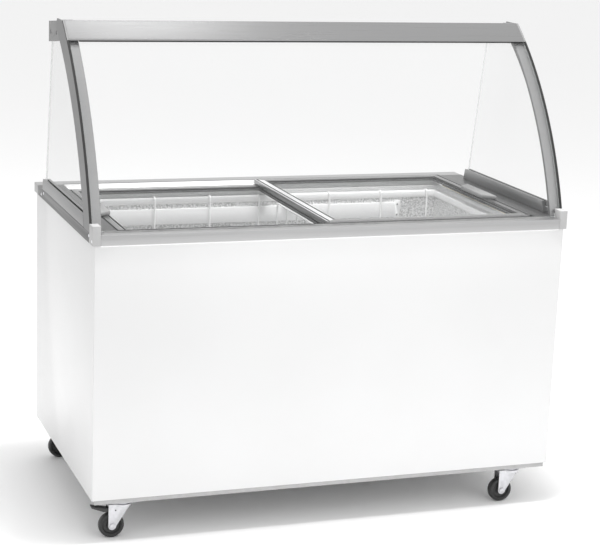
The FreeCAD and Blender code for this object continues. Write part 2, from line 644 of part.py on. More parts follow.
# ---------------------------------------------------------------- sliding lids
def lid(side, low, half, x_span, outer_x, inward):
    """A framed pane with a grip on its outer stile, riding on one ledge of the tracks."""
    top = f"{low} + lid_height"
    x_low, x_high = x_span
    bar = block(f"{side}_lid_bar", x_span, both(half), (low, top))
    window = block(f"{side}_lid_window", (f"{x_low} + lid_stile", f"{x_high} - lid_stile"),
                   both(f"{half} - lid_stile"), (f"{low} - skin", f"{top} + skin"))
    seat_x = (f"{x_low} + lid_stile - lid_groove", f"{x_high} - lid_stile + lid_groove")
    seat_y = both(f"{half} - lid_stile + lid_groove")
    pane_low = f"{low} + lid_groove_low"
    seat = block(f"{side}_lid_seat", seat_x, seat_y, (pane_low, f"{pane_low} + lid_glass"))
    finish(f"{side}_lid_frame", cut(f"{side}_lid_ring", bar, [window, seat]))
    pane = block(f"{side}_lid_sheet", (f"{seat_x[0]} + lid_seat_play", f"{seat_x[1]} - lid_seat_play"),
                 both(f"{half} - lid_stile + lid_groove - lid_seat_play"),
                 (pane_low, f"{pane_low} + lid_glass"))
    finish(f"{side}_lid_glass", pane)
    grip = [(outer_x, "-handle_half"), (f"{outer_x} {inward} handle_width",
                                        "-handle_half + handle_taper"),
            (f"{outer_x} {inward} handle_width", "handle_half - handle_taper"),
            (outer_x, "handle_half")]
    finish(f"{side}_lid_handle", prism(f"{side}_grip", "xy", grip, (top, f"{top} + handle_height")))


def lids():
    lid("left", "lower_ledge + lid_play", "lower_lid_half", ("-lid_outer", "lid_overlap"),
        "-lid_outer", "+")
    lid("right", "upper_ledge + lid_play", "upper_lid_half", ("-lid_overlap", "lid_outer"),
        "lid_outer", "-")


# ---------------------------------------------------------------- inside the tub
def wall_guard():
    """A flat white rail along the rear wall, with a screwed bracket at its free end."""
    wall = "tub_depth / 2"
    strip = block("guard_strip", ("-tub_width / 2 + guard_gap", "guard_end"),
                  (f"{wall} - guard_stand", f"{wall}"), ("guard_low", "guard_high"))
    back = block("guard_hollow", ("-tub_width / 2", "guard_end - guard_sheet"),
                 (f"{wall} - guard_stand + guard_sheet", f"{wall} + skin"),
                 ("guard_low + guard_sheet", "guard_high - guard_sheet"))
    rail = cut("guard_rail", strip, [back])
    bracket = block("guard_bracket", ("guard_end", "guard_end + bracket_width"),
                    (f"{wall} - guard_stand / 2", f"{wall}"),
                    ("guard_low - bracket_over", "guard_high + bracket_over"))
    screws = [rod(f"guard_screw_{i}", "y", ("guard_end + bracket_width / 2", height),
                  "screw_radius / 2",
                  (f"{wall} - guard_stand / 2 - skin", f"{wall} - guard_stand / 2"))
              for i, height in enumerate(("guard_low + bracket_over", "guard_high - bracket_over"))]
    finish("wall_guard", group("guard_set", [rail, joined("guard_end_bracket", [bracket] + screws)]))


def wire_guards():
    """Hooked uprights on the rear wall, tied by one level wire at their feet, and their twins."""
    face = "tub_depth / 2 - guard_stand - wire_stand"
    pieces = []
    for shift in ("0", "wire_group"):
        for place in ("wire_first", "wire_second", "wire_third"):
            tag = f"{place}_{shift}"
            x = f"{place} + {shift}"
            pieces += [
                rod(f"stem_{tag}", "z", (x, f"{face} - wire / 2"), "wire / 2",
                    ("wire_foot", "wire_top")),
                rod(f"neck_{tag}", "z", (x, f"{face} - wire / 2"), "wire / 2",
                    ("wire_top - wire", "collar_ledge + wire / 2")),
                rod(f"hook_{tag}", "y", (x, "collar_ledge + wire / 2"), "wire / 2",
                    (f"{face} - wire", f"{face} + wire_hook")),
            ]
    pieces.append(rod("wire_tie", "x", (f"{face} - wire / 2", "wire_foot"), "wire / 2",
                      ("wire_first - wire", "wire_third + wire_group + wire")))
    rear = joined("rear_wires", pieces)
    front = mirrored("front_wires", rear, Vector(0, 1, 0))
    finish("wire_guards", group("wire_guard_pair", [rear, front]))


def wire_dividers():
    """Welded wire fences across the tub, one near the left end and one in the middle."""
    fences = []
    for tag, x in (("left", "divider_left"), ("centre", "divider_centre")):
        bars = [rod(f"fence_{tag}_top", "y", (x, "divider_top"), "wire / 2",
                    both("divider_half")),
                rod(f"fence_{tag}_foot", "y", (x, "divider_foot"), "wire / 2",
                    both("divider_half"))]
        for i in range(-2, 3):
            bars.append(rod(f"fence_{tag}_bar_{i + 2}", "z", (x, f"divider_pitch * {i}"),
                            "wire / 2", ("divider_foot", "divider_top")))
        fences.append(joined(f"fence_{tag}", bars))
    finish("wire_dividers", group("fence_pair", fences))


def sensor_cover():
    """A small vented box over the thermometer's sensor, on the collar's lip at the rear."""
    wall = "(tub_depth / 2 - collar_lip)"
    shell = block("sensor_box", ("sensor_x", "sensor_x + sensor_width"),
                  (f"{wall} - sensor_depth", wall), ("sensor_low", "sensor_low + sensor_height"))
    slot = block("sensor_window", ("sensor_x + sensor_slot", "sensor_x + sensor_width - sensor_slot"),
                 (f"{wall} - sensor_depth - skin", f"{wall} - sensor_depth / 2"),
                 ("sensor_low + 2 * sensor_slot", "sensor_low + 3 * sensor_slot"))
    finish("sensor_cover", cut("sensor_cut", shell, [slot]))


# ---------------------------------------------------------------- machine bay
def compressor():
    """A welded steel pot with a domed top on a pressed plate."""
    foot = "body_base - base_height + base_gauge + foot_height"
    pot = rod("compressor_pot", "z", ("compressor_x", "compressor_y"), "compressor_radius",
              (f"{foot} + compressor_plate", f"{foot} + compressor_height - compressor_dome"))
    dome = doc.addObject("Part::Cone", "compressor_dome_top")
    bind(dome, "Radius1", "compressor_radius")
    bind(dome, "Radius2", "dome_crown")
    bind(dome, "Height", "compressor_dome")
    bind_base(dome, "compressor_x", "compressor_y", f"{foot} + compressor_height - compressor_dome")
    reach = "foot_spread + foot_radius"
    plate = block("compressor_base", (f"compressor_x - {reach}", f"compressor_x + {reach}"),
                  (f"compressor_y - {reach}", f"compressor_y + {reach}"),
                  (foot, f"{foot} + compressor_plate"))
    terminal = block("compressor_terminal", ("compressor_x - foot_radius * 2",
                                             "compressor_x + foot_radius * 2"),
                     (f"compressor_y - compressor_radius - foot_radius", "compressor_y"),
                     (f"{foot} + compressor_height / 3", f"{foot} + compressor_height * 2 / 3"))
    stub = rod("compressor_stub", "z", ("compressor_x - compressor_radius + foot_radius * 2",
                                        "compressor_y"), "coil_tube",
               (f"{foot} + compressor_height / 2", f"{foot} + compressor_height + foot_height"))
    finish("compressor", joined("compressor_whole", [pot, dome, plate, terminal, stub]))
    feet = []
    for i, (across, along) in enumerate(((-1, -1), (-1, 1), (1, -1), (1, 1))):
        feet.append(rod(f"compressor_foot_{i}", "z",
                        (f"compressor_x + foot_spread * {across}",
                         f"compressor_y + foot_spread * {along}"), "foot_radius",
                        ("body_base - base_height + base_gauge", foot)))
    finish("compressor_feet", group("compressor_foot_set", feet))


def condenser():
    """Upright fins on level tubes between two end sheets."""
    y_span = ("coil_front", "coil_back")
    z_span = ("coil_low", "coil_high")
    fins = []
    for i in range(SIZES["fin_count"]):
        x = f"coil_left + (coil_right - coil_left) * {i} / (fin_count - 1)"
        fins.append(block(f"fin_{i}", (f"{x} - fin_gauge / 2", f"{x} + fin_gauge / 2"),
                          y_span, z_span))
    tubes = []
    for i in range(SIZES["coil_rows"]):
        z = f"coil_low + (coil_high - coil_low) * ({i} + 1 / 2) / coil_rows"
        for tag, way in (("near", "-"), ("far", "+")):
            y = f"(coil_front + coil_back) / 2 {way} coil_row_shift"
            tubes.append(rod(f"tube_{tag}_{i}", "x", (y, z), "coil_tube",
                             ("coil_left - coil_tube", "coil_right + coil_tube")))
    finish("condenser", joined("condenser_whole", fins + tubes))


def fan():
    """A flanged shroud on the condenser, a shaded-pole motor on arms and a five-blade fan."""
    middle_x = "(coil_left + coil_right) / 2"
    middle_z = "(coil_low + coil_high) / 2"
    centre = (middle_x, middle_z)
    front = "coil_front - shroud_depth"
    sheet_part = block("shroud_sheet", ("coil_left", "coil_right"),
                       (front, f"{front} + shroud_gauge"), ("coil_low", "coil_high"))
    rim = block("shroud_rim", ("coil_left", "coil_right"), (front, "coil_front"),
                ("coil_low", "coil_high"))
    rim_core = block("shroud_rim_core", ("coil_left + shroud_gauge", "coil_right - shroud_gauge"),
                     (f"{front} - skin", "coil_front + skin"),
                     ("coil_low + shroud_gauge", "coil_high - shroud_gauge"))
    opening = rod("shroud_opening", "y", centre, "fan_opening",
                  (f"{front} - skin", "coil_front + skin"))
    whole = joined("shroud_whole", [cut("shroud_frame", rim, [rim_core]), sheet_part])
    finish("fan_shroud", cut("shroud_cut", whole, [opening]))

    can_back = "fan_back - fan_depth - motor_arm / 2"
    can_front = f"{can_back} - motor_depth"
    can = rod("motor_can", "y", centre, "motor_radius", (can_front, can_back))
    shaft = rod("motor_shaft", "y", centre, "shaft_radius", (can_back, "fan_back"))
    arms = []
    for i, way in enumerate((-1, 1)):
        edge = f"{middle_x} + ({way}) * (coil_right - coil_left - motor_arm) / 2"
        arms.append(block(f"motor_arm_{i}", (f"{edge} - motor_arm / 2", f"{edge} + motor_arm / 2"),
                          (can_front, front), (f"{middle_z} - motor_arm / 2",
                                               f"{middle_z} + motor_arm / 2")))
    bridge = block("motor_bridge", ("coil_left", "coil_right"),
                   (can_front, f"{can_front} + shroud_gauge"),
                   (f"{middle_z} - motor_arm / 2", f"{middle_z} + motor_arm / 2"))
    finish("fan_motor", joined("motor_whole", [can, shaft, bridge] + arms))

    hub = rod("fan_hub_disc", "y", centre, "fan_hub", ("fan_back - fan_depth", "fan_back"))
    blades = []
    middle = Vector((SIZES["coil_left"] + SIZES["coil_right"]) / 2,
                    SIZES["fan_back"] - SIZES["fan_depth"] / 2,
                    (SIZES["coil_low"] + SIZES["coil_high"]) / 2)
    lean = Placement(Vector(SIZES["fan_hub"] / 2, 0, 0),
                     Rotation(Vector(1, 0, 0), SIZES["blade_lean"]))
    centred = Placement(Vector(0, -SIZES["blade_gauge"] / 2, -SIZES["blade_chord"] / 2), Rotation())
    for i in range(SIZES["blade_count"]):
        blade = doc.addObject("Part::Box", f"fan_blade_{i}")
        bind(blade, "Length", "fan_radius - fan_hub / 2")
        bind(blade, "Width", "blade_gauge")
        bind(blade, "Height", "blade_chord")
        spoke = Placement(middle, Rotation(Vector(0, 1, 0), 360 * i / SIZES["blade_count"]))
        blade.Placement = spoke * lean * centred
        blades.append(blade)
    bore = rod("fan_bore", "y", centre, "shaft_radius + shaft_play",
               ("fan_back - fan_depth * 2", "fan_back + skin"))
    tips = rod("fan_reach", "y", centre, "fan_radius", ("fan_back - fan_depth", "fan_back"))
    rotor = overlap("fan_trim", joined("fan_rough", [hub] + blades), tips)
    finish("fan_blade", cut("fan_cut", rotor, [bore]))


def back_furniture():
    """The recessed control box with its knob, and the gland where the mains cord enters."""
    deep = f"{HALF_D} - control_recess"
    tray = block("control_tray", ("control_left + control_wall / 2",
                                  "control_right - control_wall / 2"),
                 (deep, HALF_D), ("control_low + control_wall / 2",
                                  "control_high - control_wall / 2"))
    rim = block("control_frame", ("control_left - control_wall", "control_right + control_wall"),
                (HALF_D, f"{HALF_D} + control_rim"),
                ("control_low - control_wall", "control_high + control_wall"))
    room = block("control_room", ("control_left + control_wall * 1.5",
                                  "control_right - control_wall * 1.5"),
                 (f"{deep} + control_wall", f"{HALF_D} + 2 * control_rim"),
                 ("control_low + control_wall * 1.5", "control_high - control_wall * 1.5"))
    finish("control_box", cut("control_cut", joined("control_whole", [tray, rim]), [room]))
    face = f"{deep} + control_wall + knob_play"
    centre = ("knob_x", "knob_z")
    finish("control_knob", joined("knob_whole", [
        rod("knob_skirt", "y", centre, "knob_radius", (face, f"{face} + knob_height / 3")),
        rod("knob_body", "y", centre, "knob_grip", (face, f"{face} + knob_height")),
        block("knob_pointer", ("knob_x - skin", "knob_x + skin"),
              (face, f"{face} + knob_height + skin"), ("knob_z", "knob_z + knob_grip")),
    ]))
    spot = ("gland_x", "gland_z")
    gland = joined("gland_whole", [
        rod("gland_stem", "y", spot, "gland_body", (f"{HALF_D} - gland_reach", HALF_D)),
        rod("gland_collar", "y", spot, "gland_flange", (HALF_D, f"{HALF_D} + skin")),
        rod("gland_tip", "y", spot, "gland_body", (HALF_D, f"{HALF_D} + gland_nose")),
    ])
    hole = rod("gland_hole", "y", spot, "gland_bore", (f"{HALF_D} - 2 * gland_reach",
                                                       f"{HALF_D} + 2 * gland_nose"))
    finish("power_gland", cut("gland_cut", gland, [hole]))


# ---------------------------------------------------------------- casters
def caster(tag, x, y):
    """Plate, fork, wheel and axle of one swivel caster; its wheel trails towards -X at rest."""
    ceiling = "body_base - base_height"
    half = "caster_plate / 2"
    under = f"{ceiling} - caster_plate_gauge"
    plate = joined(f"{tag}_plate", [
        block(f"{tag}_flange", (f"{x} - {half}", f"{x} + {half}"), (f"{y} - {half}", f"{y} + {half}"),
              (under, ceiling)),
        rod(f"{tag}_race", "z", (x, y), "race_radius", (f"{under} - race_depth", under)),
        rod(f"{tag}_kingpin", "z", (x, y), "kingpin_radius", ("kingpin_low", under)),
        rod(f"{tag}_kingpin_head", "z", (x, y), "kingpin_head",
            ("kingpin_low", "kingpin_low + kingpin_head_gauge")),
    ])

    crown = rod(f"{tag}_crown", "z", (x, y), "fork_radius", ("fork_low", "fork_high"))
    bridge = block(f"{tag}_bridge", (f"{x} - leg_back", x),
                   (f"{y} - leg_inner - leg_gauge", f"{y} + leg_inner + leg_gauge"),
                   ("fork_low", "fork_high"))
    hub_z = "wheel_radius"
    centre = (f"{x} - trail", hub_z)
    leg = [(f"{x} + leg_front", "fork_high"), (f"{x} - leg_back", "fork_high"),
           (f"{x} - trail - leg_boss", hub_z), (f"{x} - trail + leg_boss", hub_z)]
    legs = []
    spans = {"near": (f"{y} - leg_inner - leg_gauge", f"{y} - leg_inner"),
             "far": (f"{y} + leg_inner", f"{y} + leg_inner + leg_gauge")}
    for side, span in spans.items():
        legs.append(prism(f"{tag}_{side}_leg", "xz", leg, span))
        legs.append(rod(f"{tag}_{side}_boss", "y", centre, "leg_boss", span))
    through = (f"{y} - 2 * leg_inner", f"{y} + 2 * leg_inner")
    holes = [rod(f"{tag}_crown_bore", "z", (x, y), "fork_bore",
                 ("fork_low - skin", "fork_high + skin")),
             rod(f"{tag}_axle_bore", "y", centre, "axle_radius", through)]
    if tag == "front_left":
        holes.append(rod(f"{tag}_pedal_bore", "y", (f"{x} - pedal_pivot_x", "pedal_pivot_z"),
                         "pedal_pin", through))
    fork = cut(f"{tag}_fork_cut", joined(f"{tag}_fork_whole", [crown, bridge] + legs), holes)
    finish(f"{tag}_caster_fork", fork)

    rim = "wheel_width / 2"
    flank = [("bore_radius", rim), ("hub_radius", rim), ("hub_radius + rim_flare", "web_half"),
             ("rim_radius", "web_half"), ("rim_radius + rim_flare", f"{rim} - skin"),
             ("wheel_radius - tyre_round", rim), ("wheel_radius", f"{rim} - tyre_round")]
    section = [(out, f"-({along})") for out, along in flank] + flank[::-1]
    wheel = spun(f"{tag}_wheel_body", section)
    bind_base(wheel, f"{x} - trail", y, hub_z)
    finish(f"{tag}_wheel", wheel)

    reach = "leg_inner + leg_gauge"
    finish(f"{tag}_axle", joined(f"{tag}_axle_whole", [
        rod(f"{tag}_axle_bar", "y", centre, "axle_radius", (f"{y} - ({reach})", f"{y} + {reach}")),
        rod(f"{tag}_axle_head", "y", centre, "axle_head",
            (f"{y} - ({reach}) - axle_head_gauge", f"{y} - ({reach})")),
        rod(f"{tag}_axle_nut", "y", centre, "axle_head",
            (f"{y} + {reach}", f"{y} + {reach} + axle_head_gauge")),
    ]))
    return plate


def brake_pedal():
    """The foot pedal of the front left caster: a tongue over the wheel on a pin in the fork."""
    x = "-caster_x"
    y = "-caster_y"
    pivot_x = f"{x} - pedal_pivot_x"
    shape = [(f"{pivot_x} + pedal_eye", "pedal_pivot_z - pedal_gauge / 2"),
             (f"{pivot_x} + pedal_eye", "pedal_pivot_z + pedal_gauge / 2"),
             (f"{pivot_x} - pedal_reach / 3", "pedal_pivot_z + pedal_gauge / 2"),
             (f"{pivot_x} - pedal_reach", "pedal_pivot_z + pedal_gauge / 2 + pedal_rise"),
             (f"{pivot_x} - pedal_reach", "pedal_pivot_z + pedal_rise"),
             (f"{pivot_x} - pedal_reach / 2", "pedal_pivot_z - pedal_gauge / 2")]
    tongue = prism("pedal_tongue", "xz", shape, (f"{y} - pedal_half", f"{y} + pedal_half"))
    pin = rod("pedal_pin_bar", "y", (pivot_x, "pedal_pivot_z"), "pedal_pin - shaft_play",
              (f"{y} - leg_inner - leg_gauge", f"{y} + leg_inner + leg_gauge"))
    finish("brake_pedal", joined("pedal_whole", [tongue, pin]))


def casters():
    corners = (("front_left", "-caster_x", "-caster_y"), ("front_right", "caster_x", "-caster_y"),
               ("rear_left", "-caster_x", "caster_y"), ("rear_right", "caster_x", "caster_y"))
    plates = [caster(*corner) for corner in corners]
    finish("caster_plates", group("caster_plate_set", plates))
    brake_pedal()


# ---------------------------------------------------------------- build, check and write
folded_front_panel()
side_panel()
back_panel()
vent_grille()
base_pan()
tub_and_foam()
liner_collar()
top_frame()
lid_tracks()
posts()
front_glass()
front_glass_seals()
side_holders()
side_panes()
top_beam()
beam_ends()
lids()
wall_guard()
wire_guards()
wire_dividers()
sensor_cover()
compressor()
condenser()
fan()
back_furniture()
casters()
doc.recompute()

for thing in doc.Objects:
    faults = [state for state in thing.State if state in ("Invalid", "Error")]
    if faults:
        raise RuntimeError(f"{thing.Name} did not build: {faults}")

os.makedirs("parts", exist_ok=True)
for node, thing in parts.items():
    shape = thing.Shape
    if shape.isNull() or not shape.isValid() or not shape.Solids:
        raise RuntimeError(f"{node} has no valid solid")
    shape.exportStep(f"parts/{node}.step")
print(f"{len(parts)} sub-parts written")
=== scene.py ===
"""Looks of the glass-canopy ice cream freezer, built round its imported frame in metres."""
import math

import bmesh
import bpy
from mathutils import Matrix, Vector


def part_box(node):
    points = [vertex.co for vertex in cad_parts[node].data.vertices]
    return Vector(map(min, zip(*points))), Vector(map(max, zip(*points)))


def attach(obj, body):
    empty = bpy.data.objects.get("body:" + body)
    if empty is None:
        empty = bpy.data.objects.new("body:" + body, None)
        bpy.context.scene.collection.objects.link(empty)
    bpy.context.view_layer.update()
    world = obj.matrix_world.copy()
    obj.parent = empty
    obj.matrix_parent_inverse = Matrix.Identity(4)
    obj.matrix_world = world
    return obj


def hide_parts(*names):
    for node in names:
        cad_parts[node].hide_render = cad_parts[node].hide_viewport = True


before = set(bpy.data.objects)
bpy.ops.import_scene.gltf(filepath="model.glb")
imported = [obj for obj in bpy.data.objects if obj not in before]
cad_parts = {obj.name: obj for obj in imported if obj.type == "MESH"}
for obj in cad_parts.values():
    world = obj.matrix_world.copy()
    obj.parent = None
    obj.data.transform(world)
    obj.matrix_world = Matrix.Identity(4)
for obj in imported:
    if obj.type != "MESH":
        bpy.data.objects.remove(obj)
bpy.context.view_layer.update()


# ------------------------------------------------------------------ casing panels
# Folded steel sheets, white powder coated: a front pan, two side sheets and a back sheet round
# the foamed cabinet. The coat is smooth with a faint orange peel, and its folds are rounded.
def finish_of(name, colour, roughness, metallic=0.0):
    """A plain shader to hang a finish's detail on: the material, its nodes, links and shader."""
    material = bpy.data.materials.new(name)
    material.use_nodes = True
    nodes = material.node_tree.nodes
    shader = nodes["Principled BSDF"]
    shader.inputs["Base Color"].default_value = (*colour, 1)
    shader.inputs["Roughness"].default_value = roughness
    shader.inputs["Metallic"].default_value = metallic
    return material, nodes, material.node_tree.links, shader


def grain(nodes, links, scale, stretch=(1, 1, 1), detail=3.0):
    """Noise on the object's own coordinates, stretched where the tool ran along the piece."""
    where = nodes.new("ShaderNodeTexCoord")
    mapping = nodes.new("ShaderNodeMapping")
    mapping.inputs["Scale"].default_value = stretch
    noise = nodes.new("ShaderNodeTexNoise")
    noise.inputs["Scale"].default_value = scale
    noise.inputs["Detail"].default_value = detail
    links.new(where.outputs["Object"], mapping.inputs["Vector"])
    links.new(mapping.outputs["Vector"], noise.inputs["Vector"])
    return noise


def relief(nodes, links, shader, height, strength, depth):
    """A height pattern as bump on the shader."""
    bump = nodes.new("ShaderNodeBump")
    bump.inputs["Strength"].default_value = strength
    bump.inputs["Distance"].default_value = depth
    links.new(height, bump.inputs["Height"])
    links.new(bump.outputs["Normal"], shader.inputs["Normal"])


def spread(nodes, links, value, socket, low, high):
    """A pattern's value, from low to high, on a socket."""
    ramp = nodes.new("ShaderNodeMapRange")
    ramp.inputs["From Min"].default_value = 0.3
    ramp.inputs["From Max"].default_value = 0.7
    ramp.inputs["To Min"].default_value = low
    ramp.inputs["To Max"].default_value = high
    links.new(value, ramp.inputs["Value"])
    links.new(ramp.outputs["Result"], socket)


def clouded(nodes, links, value, shader, dark, light):
    """A pattern's value as a slow change of colour between two near tones."""
    ramp = nodes.new("ShaderNodeValToRGB")
    ramp.color_ramp.elements[0].position = 0.3
    ramp.color_ramp.elements[1].position = 0.7
    ramp.color_ramp.elements[0].color = (*dark, 1)
    ramp.color_ramp.elements[1].color = (*light, 1)
    links.new(value, ramp.inputs["Fac"])
    links.new(ramp.outputs["Color"], shader.inputs["Base Color"])


def powder_coat(name, tone):
    """White powder coat: a faint orange peel under a thin gloss."""
    material, nodes, links, shader = finish_of(name, (tone, tone, tone), 0.36)
    shader.inputs["Coat Weight"].default_value = 0.25
    shader.inputs["Coat Roughness"].default_value = 0.15
    slow = grain(nodes, links, 2.5)
    clouded(nodes, links, slow.outputs["Fac"], shader, (tone - 0.015,) * 3,
            (tone + 0.01, tone + 0.01, tone + 0.012))
    peel = grain(nodes, links, 420.0)
    spread(nodes, links, peel.outputs["Fac"], shader.inputs["Roughness"], 0.3, 0.42)
    relief(nodes, links, shader, peel.outputs["Fac"], 0.12, 0.0003)
    return material


def stand_for(bm, piece, body, finish, nodes=(), crease=32):
    """A finished mesh as a named piece on its body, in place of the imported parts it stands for."""
    mesh = bpy.data.meshes.new(piece)
    bm.to_mesh(mesh)
    bm.free()
    mesh.shade_smooth()
    mesh.set_sharp_from_angle(angle=math.radians(crease))
    made = bpy.data.objects.new(piece, mesh)
    bpy.context.scene.collection.objects.link(made)
    mesh.materials.append(finish)
    if nodes:
        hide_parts(*nodes)
    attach(made, body)
    return made


def merged(node):
    """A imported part's mesh as one skin, its flat facets joined."""
    bm = bmesh.new()
    bm.from_mesh(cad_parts[node].data)
    bmesh.ops.remove_doubles(bm, verts=bm.verts, dist=2e-6)
    bmesh.ops.dissolve_limit(bm, angle_limit=0.002, verts=bm.verts, edges=bm.edges)
    return bm


def ease(bm, radius, segments=2, least=40):
    """Round every edge that turns by more than the least angle."""
    sharp = [e for e in bm.edges
             if len(e.link_faces) == 2 and e.calc_face_angle() > math.radians(least)]
    bmesh.ops.bevel(bm, geom=sharp, offset=radius, offset_type="OFFSET", segments=segments,
                    profile=0.5, affect="EDGES", clamp_overlap=True, material=-1)


def eased(node, body, finish, radius, segments=2):
    """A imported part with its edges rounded."""
    bm = merged(node)
    ease(bm, radius, segments)
    return stand_for(bm, node + "_eased", body, finish, [node])


casing_white = powder_coat("casing_powder_coat", 0.69)
for panel in ("front_panel", "left_side_panel", "right_side_panel", "back_panel"):
    eased(panel, "cabinet", casing_white, 0.0009)
eased("vent_grille", "cabinet", casing_white, 0.0004)


# ------------------------------------------------------------------ base pan
# A shallow tray folded from galvanised sheet that closes the casing from below and carries the
# casters. It shows as a thin grey strip above them.
def galvanised(name, tone):
    """Hot dip zinc with faint spangles."""
    material, nodes, links, shader = finish_of(name, (tone, tone, tone), 0.45, 0.35)
    spangle = grain(nodes, links, 60.0, detail=1.0)
    clouded(nodes, links, spangle.outputs["Fac"], shader, (tone * 0.92,) * 3, (tone * 1.05,) * 3)
    spread(nodes, links, spangle.outputs["Fac"], shader.inputs["Roughness"], 0.38, 0.52)
    return material


base_zinc = galvanised("base_galvanised", 0.40)
eased("base_pan", "cabinet", base_zinc, 0.0008)


# ------------------------------------------------------------------ tub, foam and cold coil
# The tub is stucco embossed aluminium sheet, bedded in rigid foam with the evaporator's loops
# round its walls. Only the tub shows, through the lids.
def stucco(name, tone):
    """Embossed aluminium: small round dimples, with painted shade darkening each from its middle
    out.
    """
    material, nodes, links, shader = finish_of(name, (tone, tone, tone * 1.01), 0.4, 0.38)
    where = nodes.new("ShaderNodeTexCoord")
    cells = nodes.new("ShaderNodeTexVoronoi")
    cells.feature = "SMOOTH_F1"
    cells.inputs["Scale"].default_value = 300.0
    cells.inputs["Smoothness"].default_value = 0.3
    links.new(where.outputs["Object"], cells.inputs["Vector"])
    relief(nodes, links, shader, cells.outputs["Distance"], 0.8, 0.0011)
    # Painted shade: the colour darkens with distance from each dimple's middle, where the emboss
    # stands higher.
    clouded(nodes, links, cells.outputs["Distance"], shader, (tone * 1.1,) * 3, (tone * 0.56,) * 3)
    return material


def foam_block(name):
    """Yellowish rigid foam with fine pores."""
    material, nodes, links, shader = finish_of(name, (0.86, 0.78, 0.52), 0.9)
    pores = grain(nodes, links, 300.0, detail=6.0)
    clouded(nodes, links, pores.outputs["Fac"], shader, (0.80, 0.70, 0.44), (0.90, 0.83, 0.60))
    relief(nodes, links, shader, pores.outputs["Fac"], 0.5, 0.001)
    return material


def drawn_copper(name):
    """Copper tube with patches of tarnish."""
    material, nodes, links, shader = finish_of(name, (0.75, 0.36, 0.2), 0.3, 1.0)
    tarnish = grain(nodes, links, 25.0)
    clouded(nodes, links, tarnish.outputs["Fac"], shader, (0.55, 0.25, 0.14), (0.8, 0.42, 0.25))
    return material


def dress(node, finish):
    """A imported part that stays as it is, with its finish."""
    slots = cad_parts[node].data.materials
    slots.clear()
    slots.append(finish)


tub_stucco = stucco("tub_stucco_sheet", 0.90)
dress("inner_liner", tub_stucco)
dress("foam_insulation", foam_block("insulation_foam"))
dress("evaporator_tube", drawn_copper("evaporator_copper"))


# ------------------------------------------------------------------ collar round the tub's mouth
# A white moulded ring with a ledge under the lids and a lip over the tub's edge. Its corners are
# rounded as a vacuum formed part's are.
def moulded_white(name, tone, roughness):
    """White plastic with a fine mould grain."""
    material, nodes, links, shader = finish_of(name, (tone, tone, tone), roughness)
    slow = grain(nodes, links, 9.0)
    clouded(nodes, links, slow.outputs["Fac"], shader, (tone - 0.02,) * 3, (tone + 0.01,) * 3)
    spread(nodes, links, slow.outputs["Fac"], shader.inputs["Roughness"], roughness - 0.06,
           roughness + 0.06)
    fine = grain(nodes, links, 900.0)
    relief(nodes, links, shader, fine.outputs["Fac"], 0.08, 0.0002)
    return material


collar_white = moulded_white("collar_moulding", 0.96, 0.38)
eased("liner_collar", "cabinet", collar_white, 0.0018, 3)


# ------------------------------------------------------------------ aluminium top frame
# Box extrusions round the top of the casing, satin anodised, with the die's fine lines along
# them. The side rails carry a much darker copy of the anodising: painted shade. A drip lip closes
# the joint with the front panel; its far paler anodising is a painted highlight.
def drawn_aluminium(name, tone, stretch, roughness=0.36):
    """Anodised extrusion; the stretch is small along the length, where the die's lines run."""
    material, nodes, links, shader = finish_of(name, (tone, tone, tone * 1.01), roughness, 0.85)
    lines = grain(nodes, links, 1.0, stretch)
    spread(nodes, links, lines.outputs["Fac"], shader.inputs["Roughness"], roughness - 0.07,
           roughness + 0.08)
    clouded(nodes, links, lines.outputs["Fac"], shader, (tone * 0.95,) * 3,
            (tone * 1.03, tone * 1.03, tone * 1.04))
    relief(nodes, links, shader, lines.outputs["Fac"], 0.1, 0.0002)
    return material


ALONG_X = (3, 900, 900)
ALONG_Y = (900, 3, 900)
ROUND_X = (900, 8, 8)
rail_x_finish = drawn_aluminium("rail_anodised_lengthwise", 0.44, ALONG_X)
# The side rails' much darker anodising is painted shade.
side_rail_painted_shade_finish = drawn_aluminium("rail_anodised_crosswise_painted_shade", 0.125, ALONG_Y)
eased("front_rail", "cabinet", rail_x_finish, 0.0014, 3)
eased("rear_rail", "cabinet", rail_x_finish, 0.0014, 3)
eased("side_rails", "cabinet", side_rail_painted_shade_finish, 0.0014, 3)


def bar(bm, low, high, radius):
    """A box between two corners with rounded edges, added to a mesh."""
    size = Vector(high) - Vector(low)
    middle = (Vector(high) + Vector(low)) / 2
    made = bmesh.ops.create_cube(bm, size=1.0, matrix=Matrix.LocRotScale(middle, None, size))
    edges = {e for v in made["verts"] for e in v.link_edges}
    bmesh.ops.bevel(bm, geom=list(edges), offset=radius, offset_type="OFFSET", segments=2,
                    profile=0.5, affect="EDGES", clamp_overlap=True, material=-1)


rail_low, rail_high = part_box("front_rail")
lip_drop = 0.0035
lip_stand = 0.0016
lip_bite = 0.0002
panel_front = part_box("front_panel")[0].y
bm = bmesh.new()
bar(bm, (rail_low.x, panel_front - lip_stand, rail_low.z - lip_drop),
    (rail_high.x, panel_front + lip_bite, rail_low.z + lip_bite), 0.0006)
# The lip is a real drip edge; its anodising, far paler than the rails', is a painted highlight.
stand_for(bm, "front_rail_drip_lip", "cabinet",
          drawn_aluminium("drip_lip_painted_highlight_anodised", 0.85, ALONG_X, 0.25))


